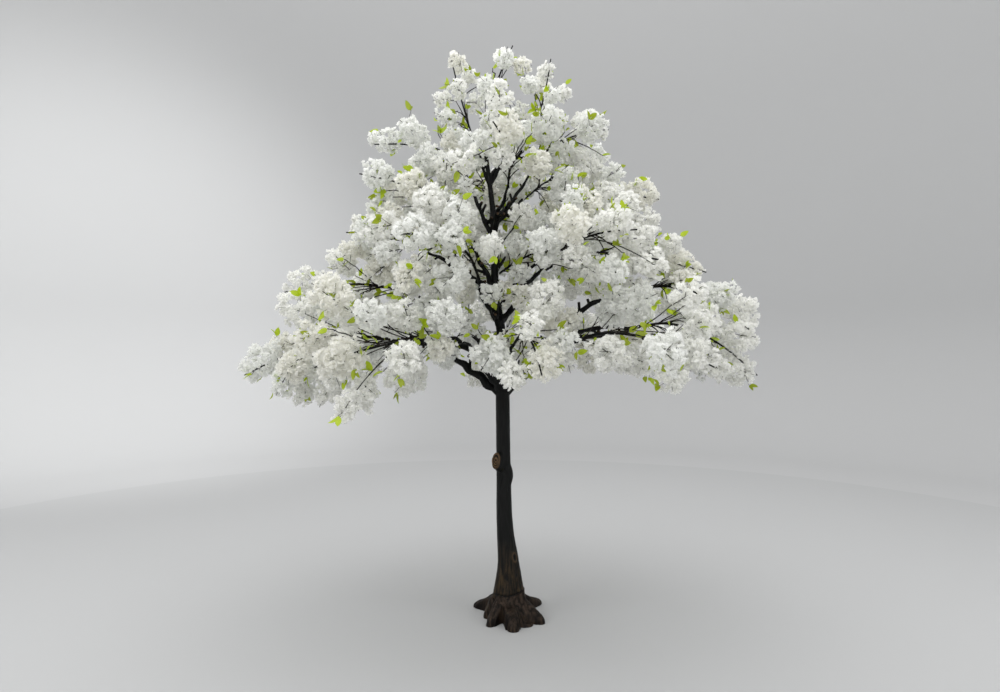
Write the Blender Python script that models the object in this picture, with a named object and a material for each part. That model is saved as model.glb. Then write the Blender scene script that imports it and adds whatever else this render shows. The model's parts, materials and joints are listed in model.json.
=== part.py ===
"""Artificial flowering tree with white blossom, on its own moulded foot.

Metres, +Z up. The origin lies on the floor under the middle of the foot, and the tree faces -Y.
The moulded trunk runs up through the crown as its leader. Boughs leave it in tiers, and at the
tip of each a mass of blossom grows on: one stem, twigs that branch from it by a seeded rule, a
bunch of blossom at the end of each twig, and leaves on the twigs.
"""

import math
from dataclasses import dataclass, field

import bmesh
import bpy
import numpy as np
from mathutils import Matrix, Vector

# Clear space that neighbouring pieces keep between their faces
GAP = 0.0003
SEED = 32
# A direction that no limb runs along, to start rings from
ANY_DIRECTION = (0.31, 0.52, 0.79)

# Trunk and leader, from the seam on the foot to the leader's tip
SEAM_HEIGHT = 0.125
FORK_HEIGHT = 1.24
LEADER_HEIGHT = 2.42
TRUNK_RADIUS = 0.0355
FLARE_RADIUS = 0.045
FLARE_FADE = 0.19
LEADER_RADIUS = 0.0285
LEADER_TIP_RADIUS = 0.0105
FORK_BLEND = 0.06
LEAN_HEIGHTS = (0.10, 0.28, 0.45, 0.70, 1.15, 1.50, 1.66, 2.10, 2.42)
LEAN_X = (0.0, -0.003, -0.020, -0.027, -0.033, -0.042, -0.066, -0.082, -0.120)
LEAN_Y = (0.0, 0.0, 0.0, 0.004, 0.0, -0.012, -0.008, 0.008, 0.0)
TRUNK_SIDES = 11
TRUNK_STATIONS = 19
# Above one, the rings of the trunk are closer together at its flare
TRUNK_CROWDING = 1.15

# Knot of a sawn-off limb on the trunk, and the swelling beside it
KNOT_HEIGHT = 0.81
KNOT_AZIMUTH = 222.0
KNOT_RISE = 12.0
KNOT_REACH = 0.064
KNOT_FACE = (0.023, 0.040)
KNOT_ROOT = (0.033, 0.056)
KNOT_SIDES = 10
KNOT_STATIONS = (0.0, 0.72, 1.0)
SWELLING_HEIGHT = 0.745
SWELLING_AZIMUTH = -20.0
SWELLING_OFFSET = 0.020
SWELLING_SIZE = (0.029, 0.029, 0.060)
SWELLING_SIDES = 10
SWELLING_RINGS = 7

# Foot: a collar under the trunk and thick roots that run out from it over the floor
COLLAR_RADII = (0.081, 0.090, 0.112)
COLLAR_HEIGHTS = (SEAM_HEIGHT, 0.085, -0.02)
COLLAR_SIDES = 14
ROOT_SHOULDER = (0.052, 0.072)
ROOT_START = 0.03
ROOT_BEND = (0.085, 0.055)
ROOT_SIDES = 8
ROOT_STATIONS = 5
ROOT_TOE_SHARES = (0.66, 0.93)
ROOT_SUNK = 0.006

# The crown's outline: its reach from the middle at each height, and its underside at each reach
CROWN_HEIGHTS = (1.00, 1.15, 1.30, 1.50, 1.70, 1.85, 2.05, 2.25, 2.45, 2.60, 2.75, 2.90, 3.00)
CROWN_REACHES = (1.00, 1.24, 1.36, 1.31, 1.20, 1.02, 0.90, 0.80, 0.70, 0.56, 0.43, 0.32, 0.16)
UNDERSIDE_REACHES = (0.0, 0.30, 0.80, 1.05, 1.40)
UNDERSIDE_HEIGHTS = (1.27, 1.20, 1.18, 1.13, 1.18)
UNDERSIDE_TILT = 0.11
CROWN_TOP = 3.004
FRONT_THINNING = 0.14
FRONT_SPREAD = 40.0
LEADER_VIEW = (1.47, 2.36)
LEADER_VIEW_HALF = 0.15

# Limbs: a cubic curve with handles of this share of its span, and a crook at each joint
LIMB_POINTS = 6
LIMB_HANDLE = 0.36
CROOK = 0.016
CROOK_SHARES = (0.4, 1.0)
CROOK_FULL_SPAN = 0.4
LIMB_ROOM = 0.003
TRUNK_ROOM = 0.008
TRUNK_ROOM_HEIGHTS = (0.2, LEADER_HEIGHT, 0.025)

# Stems of the masses
STEM_POINTS = 6
STEM_HANDLE = 0.4
STEM_END_RADIUS = 0.003
INNER_STEM_RADIUS = 0.006
INNER_STEM_RISE = 35.0
INNER_STEM_GAP = 0.006
LEADER_STEM_SHARE = 0.9

# Twigs: where they leave the stem, how they bend out, and how far the bunch is from the stem
TWIG_POINTS = 12
TWIG_RADIUS = 0.0045
TWIG_END_RADIUS = 0.0032
TWIG_PLACES = (0.05, 0.95)
TWIG_SET_BACK = (0.15, 0.45)
TWIG_LOWEST = 0.02
TWIG_LEAN = (0.1, 0.8)
TWIG_HANDLE = 0.42
BUNCH_OUT = (0.5, 1.1)

# Bunches: size, how far their axis follows the stem, strays and sags, and how many places are tried
BUNCH_LENGTH = 0.112
BUNCH_RADIUS = 0.076
LENGTH_SHARES = (0.8, 1.15)
RADIUS_SHARES = (0.88, 1.1)
BUNCH_FOLLOW = 0.5
BUNCH_STRAY = 0.2
BUNCH_SAG = 0.15
END_BUNCH_STRAY = 0.15
TRIES = 64
END_TRIES = 21
CLEARANCE = 0.005

# Leaves
LEAF_LENGTH = 0.085
LEAF_WIDTH = 0.044
LEAF_THICKNESS = 0.0024
LEAF_WIDEST = 0.45
LEAF_FOLD = 0.12
LEAF_SINK = 0.004
LEAF_SHARE = 0.45
LEAF_TRIES = 8
LEAF_PLACES = (0.35, 0.8)
LEAF_LEAN = 0.5
LEAF_ROOM_AT = (0.35, 0.7, 1.0)

# Facets
STEM_SIDES = 4
TWIG_SIDES = 3
TWIG_STATIONS = 3
BUNCH_RINGS = 3
BUNCH_LUMPS = 0.12
BUNCH_HOLLOWS = 0.17
# Below one, a bunch is fuller towards its ends than an ellipsoid
BUNCH_FULLNESS = 0.8
LIMB_SIDES = 5

# A bough is cut clear of the boughs that leave the trunk within this height of it
NEIGHBOUR_HEIGHT = 0.12
CUTTER_SPARE = 0.0001


@dataclass(frozen=True)
class Tier:
    """What the boughs at one level have in common.

    launch and arrive are rises in degrees; width, droop and size are those of their masses.
    """

    radius: float
    tip: float
    launch: float
    arrive: float
    width: float
    droop: float
    size: float = 1.0


@dataclass(frozen=True)
class Bough:
    """One bough and the mass of blossom at its tip.

    start is a height on the trunk, or the share of the way along the parent bough. The tip is at
    azimuth, reach and height; the mass reaches on to far_reach and far_height, turned by swing.
    """

    name: str
    tier: Tier
    start: float
    azimuth: float
    reach: float
    height: float
    far_reach: float
    far_height: float
    bunches: int
    swing: float = 0.0
    parent: str = ""


@dataclass(frozen=True)
class InnerMass:
    """A mass of blossom whose stem leaves the trunk itself."""

    name: str
    start: float
    azimuth: float
    far_reach: float
    far_height: float
    bunches: int
    width: float
    size: float = 0.95


@dataclass(frozen=True)
class Root:
    """One root of the foot: its direction, its reach from the middle, and its size at the toe."""

    azimuth: float
    reach: float
    half_width: float
    toe_height: float


LOW = Tier(radius=0.020, tip=0.0095, launch=36, arrive=-5, width=0.25, droop=0.08, size=1.06)
SIDE = Tier(radius=0.011, tip=0.007, launch=8, arrive=-4, width=0.22, droop=0.05)
RISING = Tier(radius=0.017, tip=0.008, launch=70, arrive=38, width=0.24, droop=0.05)
MIDDLE = Tier(radius=0.0135, tip=0.007, launch=38, arrive=28, width=0.21, droop=0.05)
STEEP = Tier(radius=0.011, tip=0.006, launch=62, arrive=66, width=0.20, droop=0.05, size=0.95)
UPPER = Tier(radius=0.010, tip=0.0055, launch=52, arrive=45, width=0.19, droop=0.04, size=0.9)
TOP = Tier(radius=0.0075, tip=0.0045, launch=74, arrive=60, width=0.15, droop=0.0, size=0.68)

BOUGHS = (
    Bough("low_left", LOW, 1.165, 184, 0.57, 1.445, 1.36, 1.27, 9),
    Bough("low_right", LOW, 1.165, 2, 0.66, 1.70, 1.29, 1.50, 7),
    Bough("right_side", SIDE, 0.46, -2, 0.70, 1.525, 1.27, 1.27, 7, swing=-3, parent="low_right"),
    Bough("high_left", RISING, 1.225, 172, 0.30, 1.565, 1.21, 1.71, 8, swing=4),
    Bough("front_left", LOW, 1.19, 228, 0.42, 1.42, 1.12, 1.33, 6, swing=-5),
    Bough("front", MIDDLE, 1.23, 275, 0.26, 1.43, 0.80, 1.30, 5, swing=4),
    Bough("front_right", LOW, 1.18, 316, 0.44, 1.44, 1.12, 1.33, 6, swing=4),
    Bough("back_left", LOW, 1.20, 136, 0.50, 1.46, 1.22, 1.33, 7, swing=4),
    Bough("back", LOW, 1.22, 92, 0.46, 1.48, 1.08, 1.38, 7),
    Bough("back_right", LOW, 1.21, 46, 0.50, 1.46, 1.22, 1.35, 7, swing=-4),
    Bough("mid_left", MIDDLE, 1.69, 182, 0.42, 1.905, 0.86, 2.02, 6, swing=-3),
    Bough("mid_left_up", STEEP, 1.71, 205, 0.22, 1.95, 0.78, 2.26, 5, swing=-5),
    Bough("mid_right", STEEP, 1.62, 5, 0.30, 2.05, 0.80, 2.20, 6, swing=-2),
    Bough("mid_right_out", SIDE, 0.55, 0, 0.40, 1.91, 1.02, 1.80, 6, swing=-4, parent="mid_right"),
    Bough("mid_front_left", MIDDLE, 1.52, 235, 0.28, 1.78, 0.84, 1.90, 6, swing=-3),
    Bough("mid_front_right", MIDDLE, 1.55, 305, 0.28, 1.80, 0.86, 1.92, 6, swing=4),
    Bough("mid_back_left", MIDDLE, 1.50, 128, 0.36, 1.84, 0.96, 1.92, 6, swing=-4),
    Bough("mid_back_right", MIDDLE, 1.54, 50, 0.36, 1.86, 0.96, 1.92, 6, swing=4),
    Bough("upper_left", STEEP, 1.98, 180, 0.195, 2.25, 0.72, 2.48, 6),
    Bough("upper_right", STEEP, 2.06, 10, 0.10, 2.31, 0.53, 2.57, 6, swing=-6),
    Bough("upper_front", UPPER, 2.02, 268, 0.20, 2.22, 0.56, 2.42, 5, swing=-6),
    Bough("upper_back_left", UPPER, 2.00, 118, 0.22, 2.24, 0.64, 2.42, 5, swing=-6),
    Bough("upper_back_right", UPPER, 2.04, 56, 0.22, 2.26, 0.64, 2.44, 5, swing=-8),
    Bough("top_left", TOP, 2.22, 184, 0.17, 2.46, 0.31, 2.96, 6),
    Bough("top_right", TOP, 2.26, 5, 0.10, 2.50, 0.22, 2.93, 6, swing=-5),
    Bough("top_back", TOP, 2.28, 85, 0.10, 2.50, 0.34, 2.74, 5),
)

INNER_MASSES = (
    InnerMass("inner_left", 1.42, 196, 0.52, 1.66, 4, 0.18),
    InnerMass("inner_right", 1.80, 338, 0.44, 1.98, 3, 0.16),
    InnerMass("inner_back", 1.74, 92, 0.44, 1.98, 4, 0.17),
    InnerMass("inner_front", 1.34, 255, 0.40, 1.40, 3, 0.16),
)
LEADER_MASS = InnerMass("top", LEADER_HEIGHT, 0, 0.02, 3.0, 8, 0.15, 0.68)

ROOTS = (
    Root(azimuth=143, reach=0.235, half_width=0.028, toe_height=0.040),
    Root(azimuth=97, reach=0.215, half_width=0.033, toe_height=0.042),
    Root(azimuth=46, reach=0.260, half_width=0.029, toe_height=0.040),
    Root(azimuth=-29, reach=0.210, half_width=0.032, toe_height=0.040),
    Root(azimuth=-56, reach=0.168, half_width=0.040, toe_height=0.036),
    Root(azimuth=-85, reach=0.217, half_width=0.041, toe_height=0.050),
    Root(azimuth=-128, reach=0.182, half_width=0.027, toe_height=0.036),
    Root(azimuth=190, reach=0.135, half_width=0.029, toe_height=0.036),
)

BARK = (0.020, 0.016, 0.013)
FOOT_BARK = (0.036, 0.023, 0.016)
BLOSSOM = (0.80, 0.80, 0.76)


@dataclass
class Bunch:
    """A bunch of blossom on its twig: an ellipsoid of half-length length and half-width radius."""

    centre: np.ndarray
    axis: np.ndarray
    length: float
    radius: float
    twig: np.ndarray | None


@dataclass
class Mass:
    """A mass of blossom: its stem, and the bunches and leaves that grew on it."""

    name: str
    number: int
    stem: np.ndarray
    stem_radius: float
    direction: np.ndarray
    wanted: int
    width: float
    size: float
    bunches: list = field(default_factory=list)
    leaves: list = field(default_factory=list)


class Space:
    """The room that is taken: balls along every limb, twig and bunch, each with its owner."""

    def __init__(self):
        self.balls = np.zeros((0, 4))
        self.owners = np.zeros(0, int)

    def add(self, points, radii, owner):
        """Takes the room of balls of these radii round these points."""
        balls = np.column_stack([points, np.broadcast_to(radii, len(points))])
        self.balls = np.concatenate([self.balls, balls])
        self.owners = np.concatenate([self.owners, np.full(len(balls), owner)])

    def is_clear(self, points, radii, owner=None):
        """For tries of several balls each: whether every ball keeps clear of what others own."""
        middle = points.mean(axis=(0, 1))
        within = np.linalg.norm(points - middle, axis=-1).max() + np.max(radii) + CLEARANCE
        away = np.linalg.norm(self.balls[:, :3] - middle, axis=1) - self.balls[:, 3]
        others = np.ones(len(self.owners), bool) if owner is None else self.owners != owner
        near = self.balls[others & (away < within)]
        if not len(near):
            return np.ones(len(points), bool)
        apart = np.linalg.norm(points[:, :, None] - near[:, :3], axis=-1)
        room = apart - np.asarray(radii)[..., None] - near[:, 3]
        return room.min(axis=(1, 2)) > CLEARANCE


def unit(vectors):
    """The vectors, each scaled to length one."""
    return vectors / np.linalg.norm(vectors, axis=-1, keepdims=True)


def heading(azimuth, rise=0.0):
    """The direction at an azimuth from +X towards +Y and a rise above the level, in degrees."""
    turn, up = math.radians(azimuth), math.radians(rise)
    return np.array([math.cos(turn) * math.cos(up), math.sin(turn) * math.cos(up), math.sin(up)])


def place(azimuth, reach, height):
    """The point at an azimuth, a reach from the middle and a height."""
    return heading(azimuth) * reach + np.array([0.0, 0.0, height])


def smooth(knots, values, at):
    """A curve through the values at the knots, a cubic on each span with the mean slopes."""
    knots, values = np.asarray(knots), np.asarray(values)
    slopes = np.gradient(values, knots)
    at = np.clip(at, knots[0], knots[-1])
    low = np.clip(np.searchsorted(knots, at, side="right") - 1, 0, len(knots) - 2)
    span = knots[low + 1] - knots[low]
    t = (at - knots[low]) / span
    rise = values[low + 1] - values[low]
    start, end = slopes[low] * span, slopes[low + 1] * span
    return values[low] + t * start + t**2 * (3 * rise - 2 * start - end) + t**3 * (start + end - 2 * rise)


def trunk_point(height):
    """The middle of the trunk or leader at a height."""
    return np.array([smooth(LEAN_HEIGHTS, LEAN_X, height), smooth(LEAN_HEIGHTS, LEAN_Y, height), height])


def trunk_radius(height):
    """The trunk's radius: even with a flare at its foot, narrowing to the leader above the fork."""
    trunk = TRUNK_RADIUS + FLARE_RADIUS * math.exp(-(height - SEAM_HEIGHT) / FLARE_FADE)
    climbed = (height - FORK_HEIGHT) / (LEADER_HEIGHT - FORK_HEIGHT)
    leader = LEADER_RADIUS + (LEADER_TIP_RADIUS - LEADER_RADIUS) * climbed
    share = 1 / (1 + math.exp(-(height - FORK_HEIGHT) / (FORK_BLEND / 4)))
    return trunk + (leader - trunk) * share


def cubic(start, first, second, end, shares):
    """Points of a cubic Bezier curve."""
    t = np.asarray(shares)[:, None]
    return (1 - t) ** 3 * start + 3 * (1 - t) ** 2 * t * first + 3 * (1 - t) * t**2 * second + t**3 * end


def quadratic(start, handle, end, shares):
    """Points of quadratic Bezier curves, one or many at once."""
    t = np.asarray(shares)[:, None]
    start, handle, end = start[..., None, :], handle[..., None, :], end[..., None, :]
    return (1 - t) ** 2 * start + 2 * (1 - t) * t * handle + t**2 * end


def along(path, shares):
    """Points at shares of the way along a path of even steps, and the directions there."""
    shares = np.atleast_1d(shares)
    index = np.clip(shares, 0, 1) * (len(path) - 1)
    low = np.minimum(index.astype(int), len(path) - 2)
    part = (index - low)[:, None]
    step = path[low + 1] - path[low]
    return path[low] + step * part, unit(step)


def filled(path, spacing=0.018):
    """Points close together along a path."""
    length = np.linalg.norm(np.diff(path, axis=0), axis=1).sum()
    return along(path, np.linspace(0, 1, max(2, int(length / spacing))))[0]


def tapered(start, end, count):
    """Radii that narrow evenly."""
    return np.linspace(start, end, count)


def bough_path(bough, paths, rng):
    """A bough's line: a curve from the trunk's middle to the tip, with a crook at each joint."""
    tier = bough.tier
    if bough.parent:
        root = along(paths[bough.parent], bough.start)[0][0]
    else:
        root = trunk_point(bough.start)
    tip = place(bough.azimuth, bough.reach, bough.height)
    span = np.linalg.norm(tip - root)
    azimuth = math.degrees(math.atan2(tip[1] - root[1], tip[0] - root[0]))
    handle = span * LIMB_HANDLE
    first = root + heading(azimuth, tier.launch) * handle
    second = tip - heading(azimuth, tier.arrive) * handle
    path = cubic(root, first, second, tip, np.linspace(0, 1, LIMB_POINTS))
    for i in range(2, LIMB_POINTS - 1):
        side = unit(np.cross(path[i + 1] - path[i - 1], rng.normal(size=3)))
        path[i] += side * CROOK * rng.uniform(*CROOK_SHARES) * min(1.0, span / CROOK_FULL_SPAN)
    return path


def stem_path(start, direction, far, droop):
    """A mass's stem: it leaves along the direction and bends over to the far end."""
    handle = start + direction * np.linalg.norm(far - start) * STEM_HANDLE + np.array([0.0, 0.0, droop])
    return quadratic(start, handle, far, np.linspace(0, 1, STEM_POINTS))


def inside_crown(points, radii):
    """Whether balls lie inside the crown's outline, which is shallower at the front."""
    reach = np.hypot(points[..., 0], points[..., 1])
    azimuth = np.degrees(np.arctan2(points[..., 1], points[..., 0]))
    depth = 1 - FRONT_THINNING * np.exp(-(((azimuth + 90) / FRONT_SPREAD) ** 2))
    widest = np.interp(points[..., 2], CROWN_HEIGHTS, CROWN_REACHES) * depth
    lowest = np.interp(reach, UNDERSIDE_REACHES, UNDERSIDE_HEIGHTS) + UNDERSIDE_TILT * points[..., 0]
    inside = (reach + radii * 0.75 < widest) & (points[..., 2] - radii * 0.7 > lowest)
    return (inside & (points[..., 2] + radii < CROWN_TOP)).all(axis=1)


def hides_leader(centres):
    """Whether bunches stand in front of the part of the leader that shows from the front."""
    line = np.interp(centres[:, 2], LEAN_HEIGHTS, LEAN_X)
    low, high = LEADER_VIEW
    before = (centres[:, 1] < 0.05) & (np.abs(centres[:, 0] - line) < LEADER_VIEW_HALF)
    return before & (centres[:, 2] > low) & (centres[:, 2] < high)


def bunch_balls(centres, axes, lengths, radii):
    """Three balls in a row that hold each bunch, and their radii."""
    offsets = (lengths - radii * 0.9)[:, None, None] * np.array([-1.0, 0.0, 1.0])[:, None]
    points = centres[:, None] + axes[:, None] * offsets
    return points, np.repeat(radii[:, None], 3, axis=1)


def grow_bunch(mass, first, space, crowd, rng):
    """Adds one bunch to a mass, with its twig: of many tries, the one furthest from the others.

    The first bunch sits on the stem's end. Another's twig leaves the stem along it and bends out.
    space holds everything, and crowd the bunches alone.
    """
    count = END_TRIES if first else TRIES
    lengths = mass.size * BUNCH_LENGTH * rng.uniform(*LENGTH_SHARES, count)
    radii = mass.size * BUNCH_RADIUS * rng.uniform(*RADIUS_SHARES, count)
    strays = rng.normal(size=(count, 3))
    if first:
        _, ahead = along(mass.stem, 1.0)
        axes = unit(ahead + strays * END_BUNCH_STRAY)
        middles = mass.stem[-1] - axes * lengths[:, None]
        twigs = None
        points, widths = bunch_balls(middles, axes, lengths, radii)
        allowed = space.is_clear(points, widths, mass.number)
    else:
        shares = rng.uniform(*TWIG_PLACES, count)
        at, ahead = along(mass.stem, shares)
        side = unit(np.cross(ahead, rng.normal(size=(count, 3))))
        out = unit(side + ahead * rng.uniform(*TWIG_LEAN, (count, 1)))
        middles = at + out * (rng.uniform(*BUNCH_OUT, count) * mass.width)[:, None]
        axes = unit(out + ahead * BUNCH_FOLLOW + strays * BUNCH_STRAY - np.array([0, 0, BUNCH_SAG]))
        set_back = rng.uniform(*TWIG_SET_BACK, count)
        roots, leaving = along(mass.stem, np.maximum(TWIG_LOWEST, shares - set_back))
        ends = middles - axes * lengths[:, None]
        handles = roots + leaving * np.linalg.norm(ends - roots, axis=1, keepdims=True) * TWIG_HANDLE
        twigs = quadratic(roots, handles, ends, np.linspace(0, 1, TWIG_POINTS))
        points, widths = bunch_balls(middles, axes, lengths, radii)
        allowed = ~hides_leader(middles) & inside_crown(points, widths) & space.is_clear(points, widths)
    apart = np.ones(count)
    if len(crowd.balls):
        apart = np.linalg.norm(middles[:, None] - crowd.balls[:, :3], axis=-1).min(axis=1)
    for k in np.argsort(-apart):
        if not allowed[k]:
            continue
        if twigs is not None:
            line = twigs[k][None, 1:-1]
            off_others = space.is_clear(line, TWIG_RADIUS, mass.number)[0]
            if not (off_others and crowd.is_clear(line, TWIG_RADIUS)[0]):
                continue
            space.add(line[0], TWIG_RADIUS, mass.number)
        twig = None if twigs is None else twigs[k]
        mass.bunches.append(Bunch(middles[k], axes[k], lengths[k], radii[k], twig))
        space.add(points[k], widths[k], mass.number)
        crowd.add(points[k], widths[k], mass.number)
        return


def grow_leaf(mass, twig, space, rng):
    """Adds a leaf to a twig where it would keep out of the bunches and of other masses."""
    shares = rng.uniform(*LEAF_PLACES, LEAF_TRIES)
    at, ahead = along(twig, shares)
    out = unit(np.cross(ahead, rng.normal(size=(LEAF_TRIES, 3))))
    directions = unit(ahead * LEAF_LEAN + out)
    points = at[:, None] + directions[:, None] * (LEAF_LENGTH * np.array(LEAF_ROOM_AT))[:, None]
    centres = np.array([b.centre for b in mass.bunches])
    free = np.linalg.norm(points[:, 2, None] - centres, axis=-1).min(axis=1)
    free[~space.is_clear(points, LEAF_WIDTH / 2, mass.number)] = 0
    best = int(free.argmax())
    if free[best] > BUNCH_RADIUS:
        mass.leaves.append((at[best], directions[best], out[best]))
        space.add(points[best], LEAF_WIDTH / 2, mass.number)


def start_masses(paths):
    """One mass at each bough's tip, those on the trunk, and the one on the leader's tip."""
    masses = []

    def start_mass(source, start, direction, azimuth, radius, width, droop, size):
        far = place(azimuth, source.far_reach, source.far_height)
        stem = stem_path(start, direction, far, droop)
        number = len(masses)
        masses.append(Mass(source.name, number, stem, radius, direction, source.bunches, width, size))

    for bough in BOUGHS:
        tier, path = bough.tier, paths[bough.name]
        direction = unit(path[-1] - path[-2])
        azimuth = bough.azimuth + bough.swing
        start = path[-1] + direction * GAP
        start_mass(bough, start, direction, azimuth, tier.tip, tier.width, tier.droop, tier.size)
    for inner in INNER_MASSES:
        outward = heading(inner.azimuth)
        start = trunk_point(inner.start) + outward * (trunk_radius(inner.start) + INNER_STEM_GAP)
        direction = heading(inner.azimuth, INNER_STEM_RISE)
        start_mass(inner, start, direction, inner.azimuth, INNER_STEM_RADIUS, inner.width, 0.0, inner.size)
    tip = trunk_point(LEADER_HEIGHT)
    direction = unit(tip - trunk_point(LEADER_HEIGHT - 0.05))
    top = LEADER_MASS
    start = tip + direction * GAP
    radius = LEADER_TIP_RADIUS * LEADER_STEM_SHARE
    start_mass(top, start, direction, top.azimuth, radius, top.width, 0.0, top.size)
    return masses


def grow():
    """Grows the boughs and the masses, and returns the boughs' lines by name and the masses."""
    rng = np.random.default_rng(SEED)
    space = Space()
    wood = -1
    for height in np.arange(*TRUNK_ROOM_HEIGHTS):
        space.add(trunk_point(height)[None], trunk_radius(height) + TRUNK_ROOM, wood)
    paths = {}
    for bough in BOUGHS:
        paths[bough.name] = bough_path(bough, paths, rng)
        line = filled(paths[bough.name])
        radii = tapered(bough.tier.radius, bough.tier.tip, len(line))
        space.add(line, radii + LIMB_ROOM, wood)
    masses = start_masses(paths)
    for mass in masses:
        line = filled(mass.stem)[1:-1]
        radii = tapered(mass.stem_radius, STEM_END_RADIUS, len(line))
        space.add(line, radii + LIMB_ROOM, mass.number)
    crowd = Space()
    for turn in range(max(mass.wanted for mass in masses)):
        for mass in masses:
            if turn < mass.wanted:
                grow_bunch(mass, turn == 0, space, crowd, rng)
    for mass in masses:
        for bunch in mass.bunches:
            if bunch.twig is not None and rng.random() < LEAF_SHARE:
                grow_leaf(mass, bunch.twig, space, rng)
    return paths, masses


def rings_along(path, radii, sides, first=None):
    """A ring of points round each point of the path, square to it and without twist."""
    tangents = np.gradient(path, axis=0)
    if first is not None:
        tangents[0] = first
    tangents = unit(tangents)
    across = unit(np.cross(tangents[0], ANY_DIRECTION))
    turns = np.linspace(0, 2 * math.pi, sides, endpoint=False)
    rings = []
    for point, tangent, radius in zip(path, tangents, radii):
        across = unit(across - tangent * (across @ tangent))
        other = np.cross(tangent, across)
        rings.append(point + radius * (np.cos(turns)[:, None] * across + np.sin(turns)[:, None] * other))
    return rings


def add_lofted(bm, rings, start=None, end=None, open_start=False, open_end=False):
    """Adds the skin over rings, closed flat or, where start or end is a point, in that point.

    Returns the ring of vertices at an end that is left open.
    """
    rows = [[bm.verts.new(point) for point in ring] for ring in rings]
    sides = len(rows[0])
    for low, high in zip(rows[:-1], rows[1:]):
        for i in range(sides):
            j = (i + 1) % sides
            bm.faces.new((low[i], low[j], high[j], high[i]))
    for row, pole, is_open in ((rows[0][::-1], start, open_start), (rows[-1], end, open_end)):
        if is_open:
            continue
        if pole is None:
            bm.faces.new(row)
            continue
        tip = bm.verts.new(pole)
        for i in range(sides):
            bm.faces.new((row[i], row[(i + 1) % sides], tip))
    return rows[0] if open_start else rows[-1]


def object_from(name, bm, material, collection=None):
    """A new object with the mesh."""
    mesh = bpy.data.meshes.new(name)
    bm.to_mesh(mesh)
    bm.free()
    mesh.materials.append(material)
    obj = bpy.data.objects.new(name, mesh)
    (collection or bpy.context.scene.collection).objects.link(obj)
    return obj


def tube(name, path, radii, sides, material, collection=None, first=None):
    """A closed tapering tube along a path."""
    bm = bmesh.new()
    add_lofted(bm, rings_along(path, radii, sides, first))
    return object_from(name, bm, material, collection)


def island_of(seed):
    """The vertices joined to one by edges."""
    found, waiting = {seed}, [seed]
    while waiting:
        for edge in waiting.pop().link_edges:
            for vert in edge.verts:
                if vert not in found:
                    found.add(vert)
                    waiting.append(vert)
    return found


def keep_main_body(mesh):
    """Drops loose scraps and sealed hollows, which are islands smaller than the main body."""
    bm = bmesh.new()
    bm.from_mesh(mesh)
    left = set(bm.verts)
    islands = []
    while left:
        island = island_of(next(iter(left)))
        left -= island
        islands.append(island)
    islands.sort(key=len)
    bmesh.ops.delete(bm, geom=[vert for island in islands[:-1] for vert in island], context="VERTS")
    bm.to_mesh(mesh)
    bm.free()


def is_closed(mesh):
    """Whether every edge has two faces."""
    sides = np.empty(len(mesh.loops), int)
    mesh.loops.foreach_get("edge_index", sides)
    return bool((np.bincount(sides, minlength=len(mesh.edges)) == 2).all())


def apply_boolean(obj, operation, collection):
    """Applies one Boolean with a collection, removes the collection, and keeps the main body."""
    modifier = obj.modifiers.new(operation.lower(), "BOOLEAN")
    modifier.operation = operation
    modifier.operand_type = "COLLECTION"
    modifier.collection = collection
    for solver in ("EXACT", "MANIFOLD"):
        modifier.solver = solver
        graph = bpy.context.evaluated_depsgraph_get()
        graph.update()
        mesh = bpy.data.meshes.new_from_object(obj.evaluated_get(graph))
        keep_main_body(mesh)
        if is_closed(mesh):
            break
    obj.modifiers.clear()
    plain = obj.data
    obj.data = mesh
    bpy.data.meshes.remove(plain)
    mesh.name = obj.name
    for helper in list(collection.objects):
        bpy.data.meshes.remove(helper.data)
    bpy.data.collections.remove(collection)


def helpers(name):
    """A collection in the scene for the shapes that one Boolean takes."""
    collection = bpy.data.collections.new(name)
    bpy.context.scene.collection.children.link(collection)
    return collection


def trunk_tube(name, grown, material, collection=None):
    """The trunk and leader as one tube, its radius grown by a little for a cutter."""
    bottom = SEAM_HEIGHT + GAP
    shares = np.linspace(0, 1, TRUNK_STATIONS) ** TRUNK_CROWDING
    heights = bottom + (LEADER_HEIGHT - bottom) * shares
    path = np.array([trunk_point(height) for height in heights])
    radii = np.array([trunk_radius(height) for height in heights]) + grown
    if grown:
        path[-1] += unit(path[-1] - path[-2]) * grown
    return tube(name, path, radii, TRUNK_SIDES, material, collection, first=np.array([0.0, 0.0, 1.0]))


def knot_stub(material, collection):
    """The stub of a sawn-off limb: an oval that narrows from the trunk's middle to its sawn face."""
    bm = bmesh.new()
    turns = np.linspace(0, 2 * math.pi, KNOT_SIDES, endpoint=False)
    rings = []
    for share in KNOT_STATIONS:
        half = np.array(KNOT_ROOT) + (np.array(KNOT_FACE) - KNOT_ROOT) * share
        oval = np.column_stack([np.cos(turns), np.sin(turns)]) * half
        rings.append(np.column_stack([oval, np.full(KNOT_SIDES, share * KNOT_REACH)]))
    add_lofted(bm, rings)
    outward = Vector(heading(KNOT_AZIMUTH, KNOT_RISE))
    turn = outward.to_track_quat("Z", "Y").to_matrix().to_4x4()
    bm.transform(Matrix.Translation(trunk_point(KNOT_HEIGHT)) @ turn)
    return object_from("knot_stub", bm, material, collection)


def swelling(material, collection):
    """The swelling on the trunk's other side, below the knot."""
    bm = bmesh.new()
    middle = trunk_point(SWELLING_HEIGHT) + heading(SWELLING_AZIMUTH) * SWELLING_OFFSET
    matrix = Matrix.Translation(middle) @ Matrix.Diagonal((*SWELLING_SIZE, 1.0))
    bmesh.ops.create_uvsphere(
        bm, u_segments=SWELLING_SIDES, v_segments=SWELLING_RINGS, radius=1.0, matrix=matrix
    )
    return object_from("swelling", bm, material, collection)


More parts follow.
